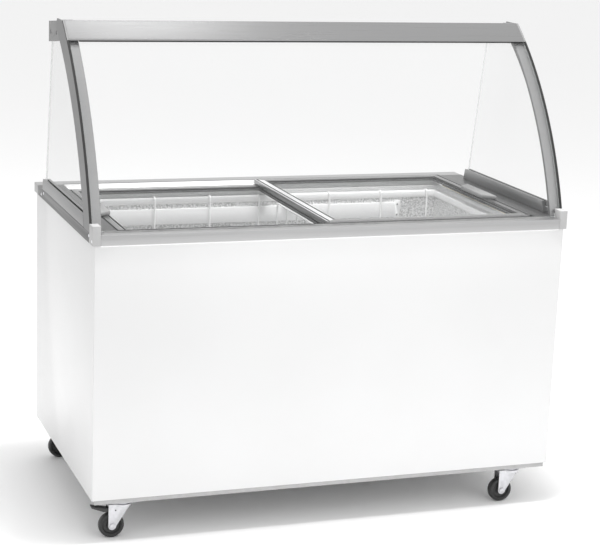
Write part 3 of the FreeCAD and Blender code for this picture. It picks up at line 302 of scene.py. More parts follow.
# ------------------------------------------------------------------ corner caps
# Grey injection moulded blocks pushed on at the two front corners. They close the rails' ends and
# hold the posts' feet.
def moulded_grey(name, tone, roughness=0.5):
    """Grey or black plastic with a matt mould grain."""
    material, nodes, links, shader = finish_of(name, (tone, tone, tone), roughness)
    fine = grain(nodes, links, 1300.0)
    slow = grain(nodes, links, 14.0)
    clouded(nodes, links, slow.outputs["Fac"], shader, (tone * 0.95,) * 3, (tone * 1.04,) * 3)
    spread(nodes, links, fine.outputs["Fac"], shader.inputs["Roughness"], roughness - 0.06,
           roughness + 0.08)
    relief(nodes, links, shader, fine.outputs["Fac"], 0.15, 0.00025)
    return material


cap_grey = moulded_grey("corner_cap_moulding", 0.42)
eased("post_caps", "cabinet", cap_grey, 0.0022, 4)


# ------------------------------------------------------------------ screws
# Zinc plated pan heads with a cross recess, sunk in the rails, the corner caps and the beam's
# end plates.
def zinc_plate(name, tone, roughness):
    """Bright zinc plating with a soft bloom."""
    material, nodes, links, shader = finish_of(name, (tone, tone, tone * 1.02), roughness, 1.0)
    bloom = grain(nodes, links, 90.0)
    clouded(nodes, links, bloom.outputs["Fac"], shader, (tone * 0.88, tone * 0.88, tone * 0.9),
            (tone * 1.06, tone * 1.06, tone * 1.1))
    spread(nodes, links, bloom.outputs["Fac"], shader.inputs["Roughness"], roughness - 0.06,
           roughness + 0.12)
    return material


def pan_head(radius, height, place):
    """A domed head with a cross-shaped pit in its crown, moved to its place, as its own mesh."""
    bm = bmesh.new()
    bmesh.ops.create_cone(bm, cap_ends=True, segments=24, radius1=radius, radius2=radius * 0.93,
                          depth=height)
    crown = max(bm.faces, key=lambda f: f.calc_center_median().z)
    bmesh.ops.bevel(bm, geom=list(crown.edges), offset=height * 0.35, segments=3, profile=0.5,
                    offset_type="OFFSET", affect="EDGES", clamp_overlap=True, material=-1)
    crown = max(bm.faces, key=lambda f: (len(f.verts) > 4) * (1 + f.calc_center_median().z))
    bmesh.ops.inset_region(bm, faces=[crown], thickness=radius * 0.3)
    pit = bmesh.ops.poke(bm, faces=[crown])["verts"][0]
    pit.co.z -= height * 0.5
    rim = sorted((e.other_vert(pit) for e in pit.link_edges),
                 key=lambda v: math.atan2(v.co.y, v.co.x))
    for v in rim[::6]:
        v.co.z -= height * 0.32
    bmesh.ops.transform(bm, matrix=place, verts=bm.verts)
    return bm


def gathered(parts):
    """Several meshes as one."""
    whole = bmesh.new()
    for part in parts:
        mesh = bpy.data.meshes.new("part")
        part.to_mesh(mesh)
        part.free()
        whole.from_mesh(mesh)
        bpy.data.meshes.remove(mesh)
    return whole


def islands(node):
    """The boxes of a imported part's separate solids, as (low, high) corners."""
    bm = merged(node)
    left = set(bm.verts)
    boxes = []
    while left:
        reach = [left.pop()]
        island = []
        while reach:
            v = reach.pop()
            island.append(v.co.copy())
            for e in v.link_edges:
                o = e.other_vert(v)
                if o in left:
                    left.discard(o)
                    reach.append(o)
        boxes.append((Vector(map(min, *island)), Vector(map(max, *island))))
    bm.free()
    return sorted(boxes, key=lambda b: tuple(b[0]))


screw_zinc = zinc_plate("screw_zinc", 0.93, 0.3)
for node in ("rail_screws", "beam_screws"):
    heads = []
    for low, high in islands(node):
        middle = (low + high) / 2
        outward = Vector((math.copysign(1, middle.x), 0, 0))
        turn = outward.to_track_quat("Z", "X").to_matrix().to_4x4()
        heads.append(pan_head((high.y - low.y) / 2, high.x - low.x,
                              Matrix.Translation(middle) @ turn))
    stand_for(gathered(heads), node.replace("_screws", "_pan_heads"), "cabinet",
              screw_zinc, [node])


# ------------------------------------------------------------------ lid tracks
# White extruded plastic steps clipped along the front and rear rails, one ledge for each lid. A
# thin black strip along the joint between each track and its rail is painted shadow.
def rubber(name, tone=0.018, roughness=0.6):
    """Dull rubber with a pale bloom."""
    material, nodes, links, shader = finish_of(name, (tone, tone, tone), roughness)
    bloom = grain(nodes, links, 40.0)
    clouded(nodes, links, bloom.outputs["Fac"], shader, (tone * 0.8,) * 3, (tone * 1.35,) * 3)
    spread(nodes, links, bloom.outputs["Fac"], shader.inputs["Roughness"], roughness - 0.08,
           roughness + 0.1)
    fine = grain(nodes, links, 1500.0)
    relief(nodes, links, shader, fine.outputs["Fac"], 0.2, 0.0002)
    return material


track_white = moulded_white("track_extrusion", 0.87, 0.3)
track_shadow_finish = rubber("track_painted_shadow_black")
eased("rear_lid_track", "cabinet", track_white, 0.0007)
eased("front_lid_track", "cabinet", track_white, 0.0007)
track_low, track_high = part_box("rear_lid_track")
shadow_strip_width = 0.004
shadow_strip_lap = 0.001
shadow_strip_proud = 0.0007
# Black strips where each track meets its rail: painted shadow.
bm = bmesh.new()
for wall in (track_high.y - shadow_strip_lap, -track_high.y + shadow_strip_lap - shadow_strip_width):
    bar(bm, (track_low.x, wall, rail_high.z - shadow_strip_lap),
        (-track_low.x, wall + shadow_strip_width, rail_high.z + shadow_strip_proud), 0.0004)
stand_for(bm, "track_painted_shadow_strips", "cabinet", track_shadow_finish)


# ------------------------------------------------------------------ canopy posts
# Curved corner extrusions that follow the front pane: a broad side plate, a seat for the pane and
# a rounded nose. Each is one section swept about the canopy's axis, cut square at the beam and
# standing in its corner cap.
AXIS = Vector((0, 0.543, 0.526))
ARC = 0.909
post_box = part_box("left_post")
plate_edge = post_box[0].x
nose_edge = post_box[1].x


def loop_through(bm, points):
    """A closed ring of edges through points."""
    ring = [bm.verts.new(point) for point in points]
    return ring, [bm.edges.new(pair) for pair in zip(ring, ring[1:] + ring[:1])]


def closed(bm):
    """Fill the open ends and turn every face outward."""
    bmesh.ops.holes_fill(bm, edges=[e for e in bm.edges if e.is_boundary])
    bmesh.ops.recalc_face_normals(bm, faces=bm.faces)


def swept(bm, corners, low_rise, high_rise, steps=40):
    """A section of (x, distance from the axis) corners swept up the arc, closed at both ends."""
    out = Vector((0, -math.cos(low_rise), math.sin(low_rise)))
    ring, edges = loop_through(bm, [AXIS + Vector((x, 0, 0)) + out * reach
                                    for x, reach in corners])
    bmesh.ops.spin(bm, geom=edges + ring, cent=AXIS, axis=(-1, 0, 0),
                   angle=high_rise - low_rise, steps=steps, use_merge=False, use_duplicate=False)
    closed(bm)


def trimmed(bm, at, normal):
    """Cut away what lies beyond a plane and close the cut."""
    bmesh.ops.bisect_plane(bm, geom=bm.verts[:] + bm.edges[:] + bm.faces[:], plane_co=at,
                           plane_no=normal, clear_outer=True)
    bmesh.ops.holes_fill(bm, edges=[e for e in bm.edges if e.is_boundary])


def mirrored(bm, across=(-1, 1, 1)):
    """Add the twin on the other side: at the other end of the cabinet unless told otherwise."""
    twin = bmesh.ops.duplicate(bm, geom=bm.verts[:] + bm.edges[:] + bm.faces[:])["geom"]
    verts = [g for g in twin if isinstance(g, bmesh.types.BMVert)]
    faces = [g for g in twin if isinstance(g, bmesh.types.BMFace)]
    bmesh.ops.scale(bm, vec=across, verts=verts)
    bmesh.ops.reverse_faces(bm, faces=faces)


def rise_at(height, reach):
    """The angle at which the arc of a given radius stands at a height."""
    return math.asin((height - AXIS.z) / reach)


cap_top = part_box("post_caps")[1].z
cap_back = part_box("post_caps")[1].y
post_foot = post_box[0].z
beam_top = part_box("top_beam")[1].z
head_play = 0.0008
plate = 0.003
proud = 0.0004


def canopy_strip(corners, low, high):
    """A section swept up the arc from the frame to a height, cut round the corner cap."""
    parts = []
    for floor, ceiling, behind_cap in ((cap_top, high, False), (low, cap_top, True)):
        part = bmesh.new()
        swept(part, corners, rise_at(low - 0.03, ARC), rise_at(high, ARC) + 0.06)
        trimmed(part, (0, 0, floor), (0, 0, -1))
        trimmed(part, (0, 0, ceiling), (0, 0, 1))
        if behind_cap:
            trimmed(part, (0, cap_back, 0), (0, -1, 0))
        parts.append(part)
    return parts


front_reach = ARC - 0.003
seat_reach = ARC - 0.008
web_reach = ARC - 0.017
back_reach = ARC - 0.062
post_corners = [(plate_edge - proud, front_reach), (plate_edge + plate, front_reach),
                (plate_edge + plate, seat_reach), (nose_edge, seat_reach),
                (nose_edge, web_reach), (plate_edge + plate, web_reach),
                (plate_edge + plate, back_reach), (plate_edge - proud, back_reach)]
nose_round = 0.0075
post_finish = drawn_aluminium("post_anodised", 0.36, ROUND_X, 0.55)
# Faces turned sideways take this darker copy of the anodising: painted shade.
post_side_painted_shade_finish = drawn_aluminium("post_side_painted_shade_anodised", 0.25, ROUND_X, 0.5)
for side in ("left", "right"):
    bm = gathered(canopy_strip(post_corners, post_foot, beam_top - head_play))
    nose = [e for e in bm.edges if all(abs(v.co.x - nose_edge) < 1e-5 for v in e.verts)
            and e.calc_face_angle(0) > 1
            and all((v.co - AXIS).yz.length > seat_reach - 1e-4 for v in e.verts)]
    bmesh.ops.bevel(bm, geom=nose, offset=nose_round, offset_type="OFFSET", segments=6,
                    profile=0.5, affect="EDGES", clamp_overlap=True, material=-1)
    if side == "right":
        bmesh.ops.scale(bm, vec=(-1, 1, 1), verts=bm.verts)
        bmesh.ops.reverse_faces(bm, faces=bm.faces)
    post = stand_for(bm, side + "_post_extrusion", "cabinet", post_finish,
                     [side + "_post"])
    post.data.materials.append(post_side_painted_shade_finish)
    # Sideways faces get the darker copy, as painted shade.
    for f in post.data.polygons:
        f.material_index = int(abs(f.normal.x) > 0.9)


# ------------------------------------------------------------------ curved front pane
# One sheet of 6 mm tempered glass bent to the canopy's arc. Its foot stands in a gasket on the
# front rail, and its head is in the beam's slot. The ground edges are a little milky.
def clear_glass(name, tint, body):
    """Thin clear glass: almost all light passes, and the rest is tinted and faintly smeared."""
    material, nodes, links, shader = finish_of(name, tint, 0.03)
    shader.inputs["Alpha"].default_value = body
    smears = grain(nodes, links, 6.0, detail=5.0)
    spread(nodes, links, smears.outputs["Fac"], shader.inputs["Roughness"], 0.02, 0.09)
    clouded(nodes, links, smears.outputs["Fac"], shader, [0.94 * t for t in tint], tint)
    return material


def ground_edge(name):
    """The frosted ground edge of a glass pane."""
    material, nodes, links, shader = finish_of(name, (0.7, 0.73, 0.72), 0.35)
    shader.inputs["Alpha"].default_value = 0.4
    frost = grain(nodes, links, 500.0)
    spread(nodes, links, frost.outputs["Fac"], shader.inputs["Roughness"], 0.25, 0.45)
    clouded(nodes, links, frost.outputs["Fac"], shader, (0.55, 0.58, 0.57), (0.72, 0.75, 0.74))
    return material


pane_glass = clear_glass("canopy_glass", (0.5, 0.51, 0.51), 0.03)
pane_edge = ground_edge("glass_ground_edge")


def edge_faces(made, across):
    """Give the narrow faces of a pane the ground edge finish; across says which faces are those."""
    made.data.materials.append(pane_edge)
    for face in made.data.polygons:
        if across(face):
            face.material_index = 1


pane_low, pane_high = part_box("front_glass")
pane_out = ARC - 0.001
pane_in = ARC - 0.007
bend_foot = rise_at(pane_low.z - 0.02, pane_out)
bend_head = rise_at(1.255, pane_out)
bm = bmesh.new()
swept(bm, [(pane_low.x, pane_out), (pane_high.x, pane_out), (pane_high.x, pane_in),
           (pane_low.x, pane_in)], bend_foot, bend_head, steps=56)
trimmed(bm, (0, 0, pane_low.z), (0, 0, -1))
trimmed(bm, (0, 0, pane_high.z), (0, 0, 1))
curved_pane = stand_for(bm, "curved_front_pane", "cabinet", pane_glass,
                        ["front_glass"])
edge_faces(curved_pane, lambda f: abs(f.normal.x) > 0.5 or abs(f.normal.z) > 0.97)


# ------------------------------------------------------------------ front glass seals
# Extruded rubber profiles: a black strip pressed on each post's outer edge, and a grey gasket
# along the pane's foot on the front rail.
seal_black = rubber("seal_rubber")
strip = 0.005
strip_edge = plate_edge - proud
seal_face = ARC + 0.001
bm = gathered(canopy_strip([(strip_edge, seal_face), (plate_edge + strip, seal_face),
                            (plate_edge + strip, ARC), (plate_edge + plate, ARC),
                            (plate_edge + plate, front_reach), (strip_edge, front_reach)],
                           post_foot, beam_top - head_play)[:1])
mirrored(bm)
stand_for(bm, "canopy_edge_seals", "cabinet", seal_black, ["front_glass_seals"])
foot = bmesh.new()
gasket_end = -nose_edge - 0.001
swept(foot, [(-gasket_end, seal_face), (gasket_end, seal_face), (gasket_end, seat_reach),
             (-gasket_end, seat_reach)], rise_at(0.76, ARC), rise_at(0.81, ARC), steps=6)
trimmed(foot, (0, 0, rail_high.z), (0, 0, -1))
trimmed(foot, (0, 0, pane_low.z), (0, 0, 1))
stand_for(foot, "canopy_foot_gasket", "cabinet", rubber("foot_gasket", 0.24, 0.5))


# ------------------------------------------------------------------ side panes and holders
# Flat 5 mm panes, raked at the back, clamped in aluminium upstands that stand on the side rails.
# A thin rubber bead closes the upstand's slot on both sides of the glass.
holder_finish = drawn_aluminium("holder_anodised", 0.29, ALONG_Y)
# The left pane's darker, denser glass is painted shade; the right pane has a plain light tint.
side_glass_with_painted_shade = {"left": clear_glass("left_side_glass_painted_shade", (0.3, 0.31, 0.31), 0.1),
             "right": clear_glass("right_side_glass_tint", (0.5, 0.51, 0.51), 0.04)}
eased("side_glass_holders", "cabinet", holder_finish, 0.0012, 3)
for side in ("left", "right"):
    bm = merged(side + "_side_glass")
    made = stand_for(bm, side + "_side_pane", "cabinet", side_glass_with_painted_shade[side],
                     [side + "_side_glass"])
    edge_faces(made, lambda f: abs(f.normal.x) < 0.5)

side_low, side_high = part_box("left_side_glass")
holder_low, holder_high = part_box("side_glass_holders")
bead = 0.0016
bead_start = holder_low.y + 0.012
bead_end = holder_high.y - 0.01
bead_foot = holder_high.z - 0.003
bead_head = holder_high.z - 0.0002
bm = bmesh.new()
for near in (side_low.x - bead, side_high.x):
    bar(bm, (near, bead_start, bead_foot), (near + bead, bead_end, bead_head), 0.0005)
mirrored(bm)
stand_for(bm, "side_pane_beads", "cabinet", seal_black)


# ------------------------------------------------------------------ top beam and its end plates
# A hollow aluminium extrusion across the top of the canopy, its face curved with the pane. Grey
# moulded plates close its two ends and clamp the side panes, with two sunk screws each.
beam_finish = drawn_aluminium("beam_anodised", 0.30, ALONG_X, 0.34)
eased("top_beam", "cabinet", beam_finish, 0.0012, 3)
plate_grey = moulded_grey("end_plate_casting", 0.19, 0.42)
eased("beam_end_plates", "cabinet", plate_grey, 0.0014, 3)
face_end = plate_edge + strip
face_foot = 1.2128
face_top = beam_top + 0.0006
face_front = ARC + 0.0021
face_back = ARC - 0.0004
sweep_foot = rise_at(1.19, ARC)
sweep_top = rise_at(1.2575, ARC)
bm = bmesh.new()
swept(bm, [(face_end, face_front), (-face_end, face_front), (-face_end, face_back),
           (face_end, face_back)], sweep_foot, sweep_top, steps=8)
trimmed(bm, (0, 0, face_foot), (0, 0, -1))
trimmed(bm, (0, 0, face_top), (0, 0, 1))
ease(bm, 0.0004)
stand_for(bm, "beam_face_strip", "cabinet", beam_finish)
bead_height = 0.0032
bead_front = ARC + 0.0004
bm = bmesh.new()
swept(bm, [(nose_edge, bead_front), (-nose_edge, bead_front), (-nose_edge, seat_reach),
           (nose_edge, seat_reach)], sweep_foot, sweep_top, steps=8)
trimmed(bm, (0, 0, face_foot - bead_height), (0, 0, -1))
trimmed(bm, (0, 0, face_foot + 0.0002), (0, 0, 1))
stand_for(bm, "beam_glass_seal", "cabinet", seal_black)


# ------------------------------------------------------------------ sliding lids
# Two panes in anodised frames. Each frame is mitred from one section, with a raised rim, a black
# gasket round the glass and a black strip in the channel behind the outer rim, which is painted
# shadow. The stiles have a darker copy of the anodising as painted shade, and the rails' inner lips
# and the right lid's left stile have a pale copy as a painted highlight.
lid_rail_finish = drawn_aluminium("lid_anodised_lengthwise", 0.33, ALONG_X, 0.3)
lid_stile_painted_shade_finish = drawn_aluminium("lid_anodised_crosswise_painted_shade", 0.22, ALONG_Y, 0.3)
lid_painted_highlight_finish = drawn_aluminium("lid_painted_highlight_anodised", 0.9, ALONG_Y, 0.35)
grip_grey = moulded_grey("lid_grip_moulding", 0.26, 0.4)
lid_glass = clear_glass("lid_glass", (0.6, 0.62, 0.62), 0.05)


def window(bm, low, high, stile, top, bottom, corner):
    """A flat ring with rounded outer corners: a rim round an opening, from bottom to top."""
    middle = Vector(((low.x + high.x) / 2, (low.y + high.y) / 2, top))
    half = Vector(((high.x - low.x) / 2, (high.y - low.y) / 2, 1))
    made = bmesh.ops.create_grid(bm, x_segments=1, y_segments=1, size=1.0,
                                 matrix=Matrix.LocRotScale(middle, None, half))["verts"]
    face = made[0].link_faces[0]
    ring = bmesh.ops.inset_individual(bm, faces=[face], thickness=stile)["faces"]
    bmesh.ops.delete(bm, geom=[face], context="FACES")
    rim = bmesh.ops.extrude_face_region(bm, geom=ring, use_keep_orig=True)["geom"]
    down = [g for g in rim if isinstance(g, bmesh.types.BMVert)]
    bmesh.ops.translate(bm, vec=(0, 0, bottom - top), verts=down)
    if corner:
        x_out = {round(low.x, 5), round(high.x, 5)}
        upright = [e for e in bm.edges if abs(e.verts[0].co.z - e.verts[1].co.z) > 1e-4
                   and round(e.verts[0].co.x, 5) in x_out]
        bmesh.ops.bevel(bm, geom=upright, offset=corner, offset_type="OFFSET", segments=4,
                        profile=0.5, affect="EDGES", clamp_overlap=True, material=-1)
    bmesh.ops.recalc_face_normals(bm, faces=bm.faces)


stile = 0.030
edge_rim = 0.005
shadow_channel = 0.004
inner_rim = edge_rim + shadow_channel
gasket_width = 0.0045
lap = 0.0002
inward = Vector((1, 1, 0))
for side in ("left", "right"):
    body = side + "_lid"
    low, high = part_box(side + "_lid_frame")
    glass_low, glass_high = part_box(side + "_lid_glass")
    bm = bmesh.new()
    window(bm, low, high, edge_rim + lap, high.z, low.z, 0.007)
    window(bm, low + inward * inner_rim, high - inward * inner_rim, stile - inner_rim,
           high.z, low.z, 0.003)
    ease(bm, 0.0008, 2)
    rim = stand_for(bm, side + "_lid_rim", body, lid_rail_finish,
                    [side + "_lid_frame"])
    rim.data.materials.append(lid_stile_painted_shade_finish)
    rim.data.materials.append(lid_painted_highlight_finish)
    # Stiles get the darker copy as painted shade; the rails' inner lips and the right lid's left
    # stile top get the pale copy as painted highlight.
    for f in rim.data.polygons:
        to_rail = min(f.center.y - low.y, high.y - f.center.y)
        to_side = min(f.center.x - low.x, high.x - f.center.x)
        on_rail = to_rail < stile - 0.0005
        painted_highlight_lip = abs(f.normal.y) > 0.7 and abs(to_rail - stile) < 0.001
        painted_highlight_cap = side == "right" and f.center.x - low.x < stile and f.normal.z > 0.7
        if painted_highlight_lip or (painted_highlight_cap and not on_rail):
            f.material_index = 2
        elif to_side < stile and not on_rail:
            f.material_index = 1

    # A black strip in the channel between the outer and inner rims: painted shadow.
    bm = bmesh.new()
    window(bm, low + inward * edge_rim, high - inward * edge_rim, shadow_channel + lap,
           high.z - 0.0016, low.z + 0.0006, 0)
    stand_for(bm, side + "_lid_painted_shadow_strip", body, seal_black)

    bm = merged(side + "_lid_glass")
    made = stand_for(bm, side + "_lid_pane", body, lid_glass,
                     [side + "_lid_glass"])
    edge_faces(made, lambda f: abs(f.normal.z) < 0.5)

    bm = bmesh.new()
    opening_low = low + inward * (stile - lap)
    opening_high = high - inward * (stile - lap)
    for top, bottom in ((glass_high.z + 0.0022, glass_high.z - lap),
                        (glass_low.z + lap, glass_low.z - 0.0018)):
        window(bm, opening_low, opening_high, gasket_width, top, bottom, 0)
    ease(bm, 0.0005, 2)
    stand_for(bm, side + "_lid_gasket", body, seal_black)

    bm = merged(side + "_lid_handle")
    ease(bm, 0.0028, 4)
    stand_for(bm, side + "_lid_grip", body, grip_grey, [side + "_lid_handle"])


# ------------------------------------------------------------------ guard rail on the rear wall
# A flat aluminium rail, painted white, hung on the tub's rear wall. A bracket with two dark
# screws holds its free end.
rail_white = powder_coat("guard_rail_paint", 0.97)
guard = eased("wall_guard", "cabinet", rail_white, 0.0007)
guard.data.materials.append(zinc_plate("bracket_screw_zinc", 0.16, 0.4))
bracket_edge = 0.4052
screw_seat = 0.2669
for f in guard.data.polygons:
    f.material_index = int(f.center.x > bracket_edge and f.center.y < screw_seat)


# ------------------------------------------------------------------ wire guards and fences
# Plastic coated steel wire: uprights hooked over the collar with a bent top, tied by a level
# wire at their feet, and two welded fences across the tub.
coat_white = moulded_white("wire_coating", 0.97, 0.26)
gauge = 0.0025


def tube_end(bm, at, normal):
    """A circle of wire to draw on from, facing along a run."""
    turn = Vector(normal).to_track_quat("Z", "X").to_matrix().to_4x4()
    made = bmesh.ops.create_circle(bm, cap_ends=False, segments=12, radius=gauge,
                                   matrix=Matrix.Translation(at) @ turn)["verts"]
    return list({e for v in made for e in v.link_edges})


def run_on(bm, edges, move):
    """Draw the open end on in a straight line."""
    grown = bmesh.ops.extrude_edge_only(bm, edges=edges)["geom"]
    verts = [g for g in grown if isinstance(g, bmesh.types.BMVert)]
    bmesh.ops.translate(bm, vec=move, verts=verts)
    return [g for g in grown if isinstance(g, bmesh.types.BMEdge)
            and all(v in verts for v in g.verts)]


def bend_on(bm, edges, centre, axis, angle):
    """Draw the open end on round a bend."""
    verts = list({v for e in edges for v in e.verts})
    grown = bmesh.ops.spin(bm, geom=edges + verts, cent=centre, axis=axis, angle=angle, steps=6,
                           use_merge=False, use_duplicate=False)["geom_last"]
    return [g for g in grown if isinstance(g, bmesh.types.BMEdge)]


wire_low, wire_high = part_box("wire_guards")
hook_reach = 0.014
stem_y = wire_high.y - hook_reach - gauge
stem_foot = wire_low.z + gauge
hook_top = wire_high.z - gauge
elbow = 0.006
second_guard = 0.515
stems = [x + shift for shift in (0, second_guard) for x in (-0.315, -0.156, -0.012)]
tie_overrun = 0.005
bm = bmesh.new()
for x in stems:
    edges = tube_end(bm, Vector((x, stem_y, stem_foot)), (0, 0, 1))
    edges = run_on(bm, edges, (0, 0, hook_top - elbow - stem_foot))
    edges = bend_on(bm, edges, (x, stem_y + elbow, hook_top - elbow), (-1, 0, 0), math.pi / 2)
    run_on(bm, edges, (0, wire_high.y - stem_y - elbow, 0))
edges = tube_end(bm, Vector((stems[0] - tie_overrun, stem_y, stem_foot)), (1, 0, 0))
run_on(bm, edges, (stems[-1] - stems[0] + 2 * tie_overrun, 0, 0))
closed(bm)
mirrored(bm, (1, -1, 1))
stand_for(bm, "hooked_wire_guards", "cabinet", coat_white, ["wire_guards"], 50)

fence_low, fence_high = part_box("wire_dividers")
fence_half = fence_high.y
fence_top = fence_high.z - gauge
fence_foot = fence_low.z + gauge
bend = 0.012
bar_pitch = 0.086
bm = bmesh.new()
for x in (fence_low.x + gauge, fence_high.x - gauge):
    start = Vector((x, -fence_half + gauge, fence_foot + bend))
    edges = tube_end(bm, start, (0, 0, 1))
    edges = run_on(bm, edges, (0, 0, fence_top - fence_foot - 2 * bend))
    edges = bend_on(bm, edges, (x, start.y + bend, fence_top - bend), (-1, 0, 0), math.pi / 2)
    edges = run_on(bm, edges, (0, 2 * (fence_half - gauge - bend), 0))
    edges = bend_on(bm, edges, (x, -start.y - bend, fence_top - bend), (-1, 0, 0), math.pi / 2)
    edges = run_on(bm, edges, (0, 0, fence_foot + 2 * bend - fence_top))
    edges = bend_on(bm, edges, (x, -start.y - bend, fence_foot + bend), (-1, 0, 0), math.pi / 2)
    edges = run_on(bm, edges, (0, -2 * (fence_half - gauge - bend), 0))
    edges = bend_on(bm, edges, (x, start.y + bend, fence_foot + bend), (-1, 0, 0), math.pi / 2)
    for i in range(-2, 3):
        edges = tube_end(bm, Vector((x, bar_pitch * i, fence_foot)), (0, 0, 1))
        run_on(bm, edges, (0, 0, fence_top - fence_foot))
bmesh.ops.remove_doubles(bm, verts=bm.verts, dist=1e-5)
closed(bm)
stand_for(bm, "welded_wire_fences", "cabinet", coat_white,
          ["wire_dividers"], 50)


# ------------------------------------------------------------------ sensor cover
# A small white moulded box with a slot, over the thermometer's bulb. It is fixed to the collar's
# lip at the rear.
eased("sensor_cover", "cabinet", collar_white, 0.0016, 3)


# ------------------------------------------------------------------ machine bay
# Compressor, condenser and fan shroud in black enamel, bolted to the base pan at the right end,
# with a plain steel fan motor and a black moulded blade. Only the grille's slots show them.
def black_enamel(name, tone, roughness):
    """Black enamel with a film of dust."""
    material, nodes, links, shader = finish_of(name, (tone, tone, tone), roughness)
    dust = grain(nodes, links, 30.0)
    clouded(nodes, links, dust.outputs["Fac"], shader, (tone * 0.8,) * 3, (tone * 1.8,) * 3)
    spread(nodes, links, dust.outputs["Fac"], shader.inputs["Roughness"], roughness - 0.05,
           roughness + 0.2)
    return material


enamel = black_enamel("machine_enamel", 0.025, 0.35)
for node in ("compressor", "condenser", "fan_shroud"):
    dress(node, enamel)
dress("compressor_feet", seal_black)
dress("fan_motor", zinc_plate("motor_steel_shell", 0.5, 0.4))
fan_black = moulded_grey("fan_moulding", 0.03, 0.4)
dress("fan_blade", fan_black)


# ------------------------------------------------------------------ thermostat and cord gland
# A recessed black box in the back sheet with a fluted knob on its floor, and the gland through
# which the mains cord enters.
box_black = moulded_grey("control_box_moulding", 0.035, 0.5)
eased("control_box", "cabinet", box_black, 0.001, 2)
knob_low, knob_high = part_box("control_knob")
knob_middle = (knob_low + knob_high) / 2
knob_radius = (knob_high.x - knob_low.x) / 2
grip_radius = knob_radius * 0.78
knob_face = knob_low.y
knob_end = knob_high.y - 0.001
flutes = 18
flute_depth = 0.0007
grip_back = knob_face + 0.003
outline = []
for i in range(flutes * 4):
    turn = math.tau * i / (flutes * 4)
    reach = grip_radius + flute_depth * math.cos(turn * flutes)
    outline.append((knob_middle.x + math.cos(turn) * reach, grip_back,
                    knob_middle.z + math.sin(turn) * reach))
bm = bmesh.new()
ring, edges = loop_through(bm, outline)
run_on(bm, edges, (0, knob_end - grip_back, 0))
bmesh.ops.holes_fill(bm, edges=[e for e in bm.edges if e.is_boundary])
skirt_depth = 0.0036
skirt = Matrix.Translation((knob_middle.x, knob_face + skirt_depth / 2, knob_middle.z))
turned = Matrix.Rotation(math.pi / 2, 4, "X")
bmesh.ops.create_cone(bm, cap_ends=True, segments=48, radius1=knob_radius * 0.92,
                      radius2=knob_radius, depth=skirt_depth, matrix=skirt @ turned)
bmesh.ops.recalc_face_normals(bm, faces=bm.faces)
ease(bm, 0.0006, 2, 50)
stand_for(bm, "thermostat_knob", "knob", box_black, ["control_knob"])
pointer_half = 0.0007
bm = bmesh.new()
bar(bm, (knob_middle.x - pointer_half, knob_end - 0.0002, knob_middle.z + 0.002),
    (knob_middle.x + pointer_half, knob_end + 0.0006, knob_middle.z + grip_radius - 0.0015),
    0.0003)
stand_for(bm, "thermostat_pointer", "knob", collar_white)
eased("power_gland", "cabinet", box_black, 0.0006, 2)


# ------------------------------------------------------------------ casters
# Bright zinc plated plates and forks, black wheels on plain axles, and a black pedal on the
# front left one.
plate_zinc = zinc_plate("caster_zinc", 0.60, 0.36)
tyre_black = rubber("caster_tyre", 0.022, 0.5)
hub_black = moulded_grey("caster_hub_moulding", 0.03, 0.45)
eased("caster_plates", "cabinet", plate_zinc, 0.0007)
wheel_half = 0.011
hub_reach = 0.0242
wheel_flank = [(0.0042, wheel_half), (0.0085, wheel_half), (0.0118, 0.0096), (0.0132, 0.0052),
               (0.0212, 0.0048), (0.0226, 0.0088), (0.0240, 0.0098), (0.0248, 0.0108),
               (0.0278, wheel_half), (0.0306, 0.0094), (0.0320, 0.0062), (0.0325, 0.0022)]
for corner in ("front_left", "front_right", "rear_left", "rear_right"):
    eased(corner + "_caster_fork", corner + "_caster", plate_zinc, 0.0006)
    eased(corner + "_axle", corner + "_caster", plate_zinc, 0.0007)
    low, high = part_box(corner + "_wheel")
    hub = (low + high) / 2
    bm = bmesh.new()
    profile = [(r, -y) for r, y in wheel_flank] + wheel_flank[::-1]
    ring, edges = loop_through(bm, [hub + Vector((r, y, 0)) for r, y in profile])
    bmesh.ops.spin(bm, geom=edges + ring, cent=hub, axis=(0, 1, 0), angle=math.tau, steps=64,
                   use_merge=True, use_duplicate=False)
    bmesh.ops.recalc_face_normals(bm, faces=bm.faces)
    wheel = stand_for(bm, corner + "_tyre_and_hub", corner + "_wheel", tyre_black,
                      [corner + "_wheel"], 28)
    wheel.data.materials.append(hub_black)
    for f in wheel.data.polygons:
        f.material_index = int((f.center - hub).xz.length < hub_reach)

eased("brake_pedal", "brake_pedal", box_black, 0.0012, 3)


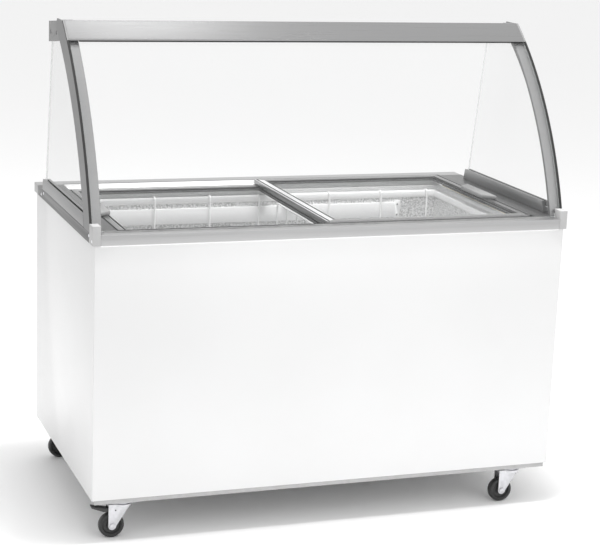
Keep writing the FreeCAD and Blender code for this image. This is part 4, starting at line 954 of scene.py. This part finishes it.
# ------------------------------------------------------------------ studio
# A pale floor, an even white surround and three soft lamps. The one over the tub leaves no glint
# in the metal and the glass.
floor_mesh = bpy.data.meshes.new("studio_floor")
bm = bmesh.new()
bmesh.ops.create_grid(bm, x_segments=1, y_segments=1, size=60)
bm.to_mesh(floor_mesh)
bm.free()
floor = bpy.data.objects.new("studio_floor", floor_mesh)
bpy.context.scene.collection.objects.link(floor)
floor_finish, nodes, links, shader = finish_of("studio_floor_paint", (0.97, 0.97, 0.97), 0.9)
floor_mesh.materials.append(floor_finish)

world = bpy.data.worlds.new("studio_surround")
world.use_nodes = True
world.node_tree.nodes["Background"].inputs["Color"].default_value = (1, 1, 1, 1)
world.node_tree.nodes["Background"].inputs["Strength"].default_value = 0.92
bpy.context.scene.world = world


def soft_lamp(name, at, towards, size, watts):
    lamp = bpy.data.lights.new(name, "AREA")
    lamp.shape = "SQUARE"
    lamp.size = size
    lamp.energy = watts
    made = bpy.data.objects.new(name, lamp)
    made.location = at
    made.rotation_euler = (Vector(towards) - Vector(at)).to_track_quat("-Z", "Y").to_euler()
    bpy.context.scene.collection.objects.link(made)
    return made


soft_lamp("front_softbox", (1.6, -4.6, 3.2), (0, 0, 0.5), 4.0, 41)
tub_lamp = soft_lamp("tub_softbox", (0.15, -0.25, 3.1), (0.05, 0.1, 0.6), 0.9, 85)
tub_lamp.visible_glossy = False
soft_lamp("top_softbox", (-0.3, 0.6, 4.2), (0, 0, 0.7), 1.3, 14)
bpy.context.scene.view_settings.view_transform = "Standard"


# ------------------------------------------------------------------ camera
# A long lens off the customer's left front corner, looking a little down on the lids and turned a
# little about its own axis.
camera_data = bpy.data.cameras.new("camera")
camera_data.lens = 104.4
camera_data.sensor_width = 36
camera_data.sensor_fit = "HORIZONTAL"
camera = bpy.data.objects.new("camera", camera_data)
yaw, pitch, roll = (math.radians(a) for a in (20.018, 13.246, 2.232))
ahead = Vector((math.sin(yaw) * math.cos(pitch), math.cos(yaw) * math.cos(pitch), -math.sin(pitch)))
aside = Vector((math.cos(yaw), -math.sin(yaw), 0))
upward = aside.cross(ahead)
across = math.cos(roll) * aside + math.sin(roll) * upward
over = -math.sin(roll) * aside + math.cos(roll) * upward
stand = Matrix((across, over, -ahead)).transposed().to_4x4()
stand.translation = Vector((-1.5460, -4.3115, 1.6572))
camera.matrix_world = stand
bpy.context.scene.collection.objects.link(camera)
bpy.context.scene.camera = camera
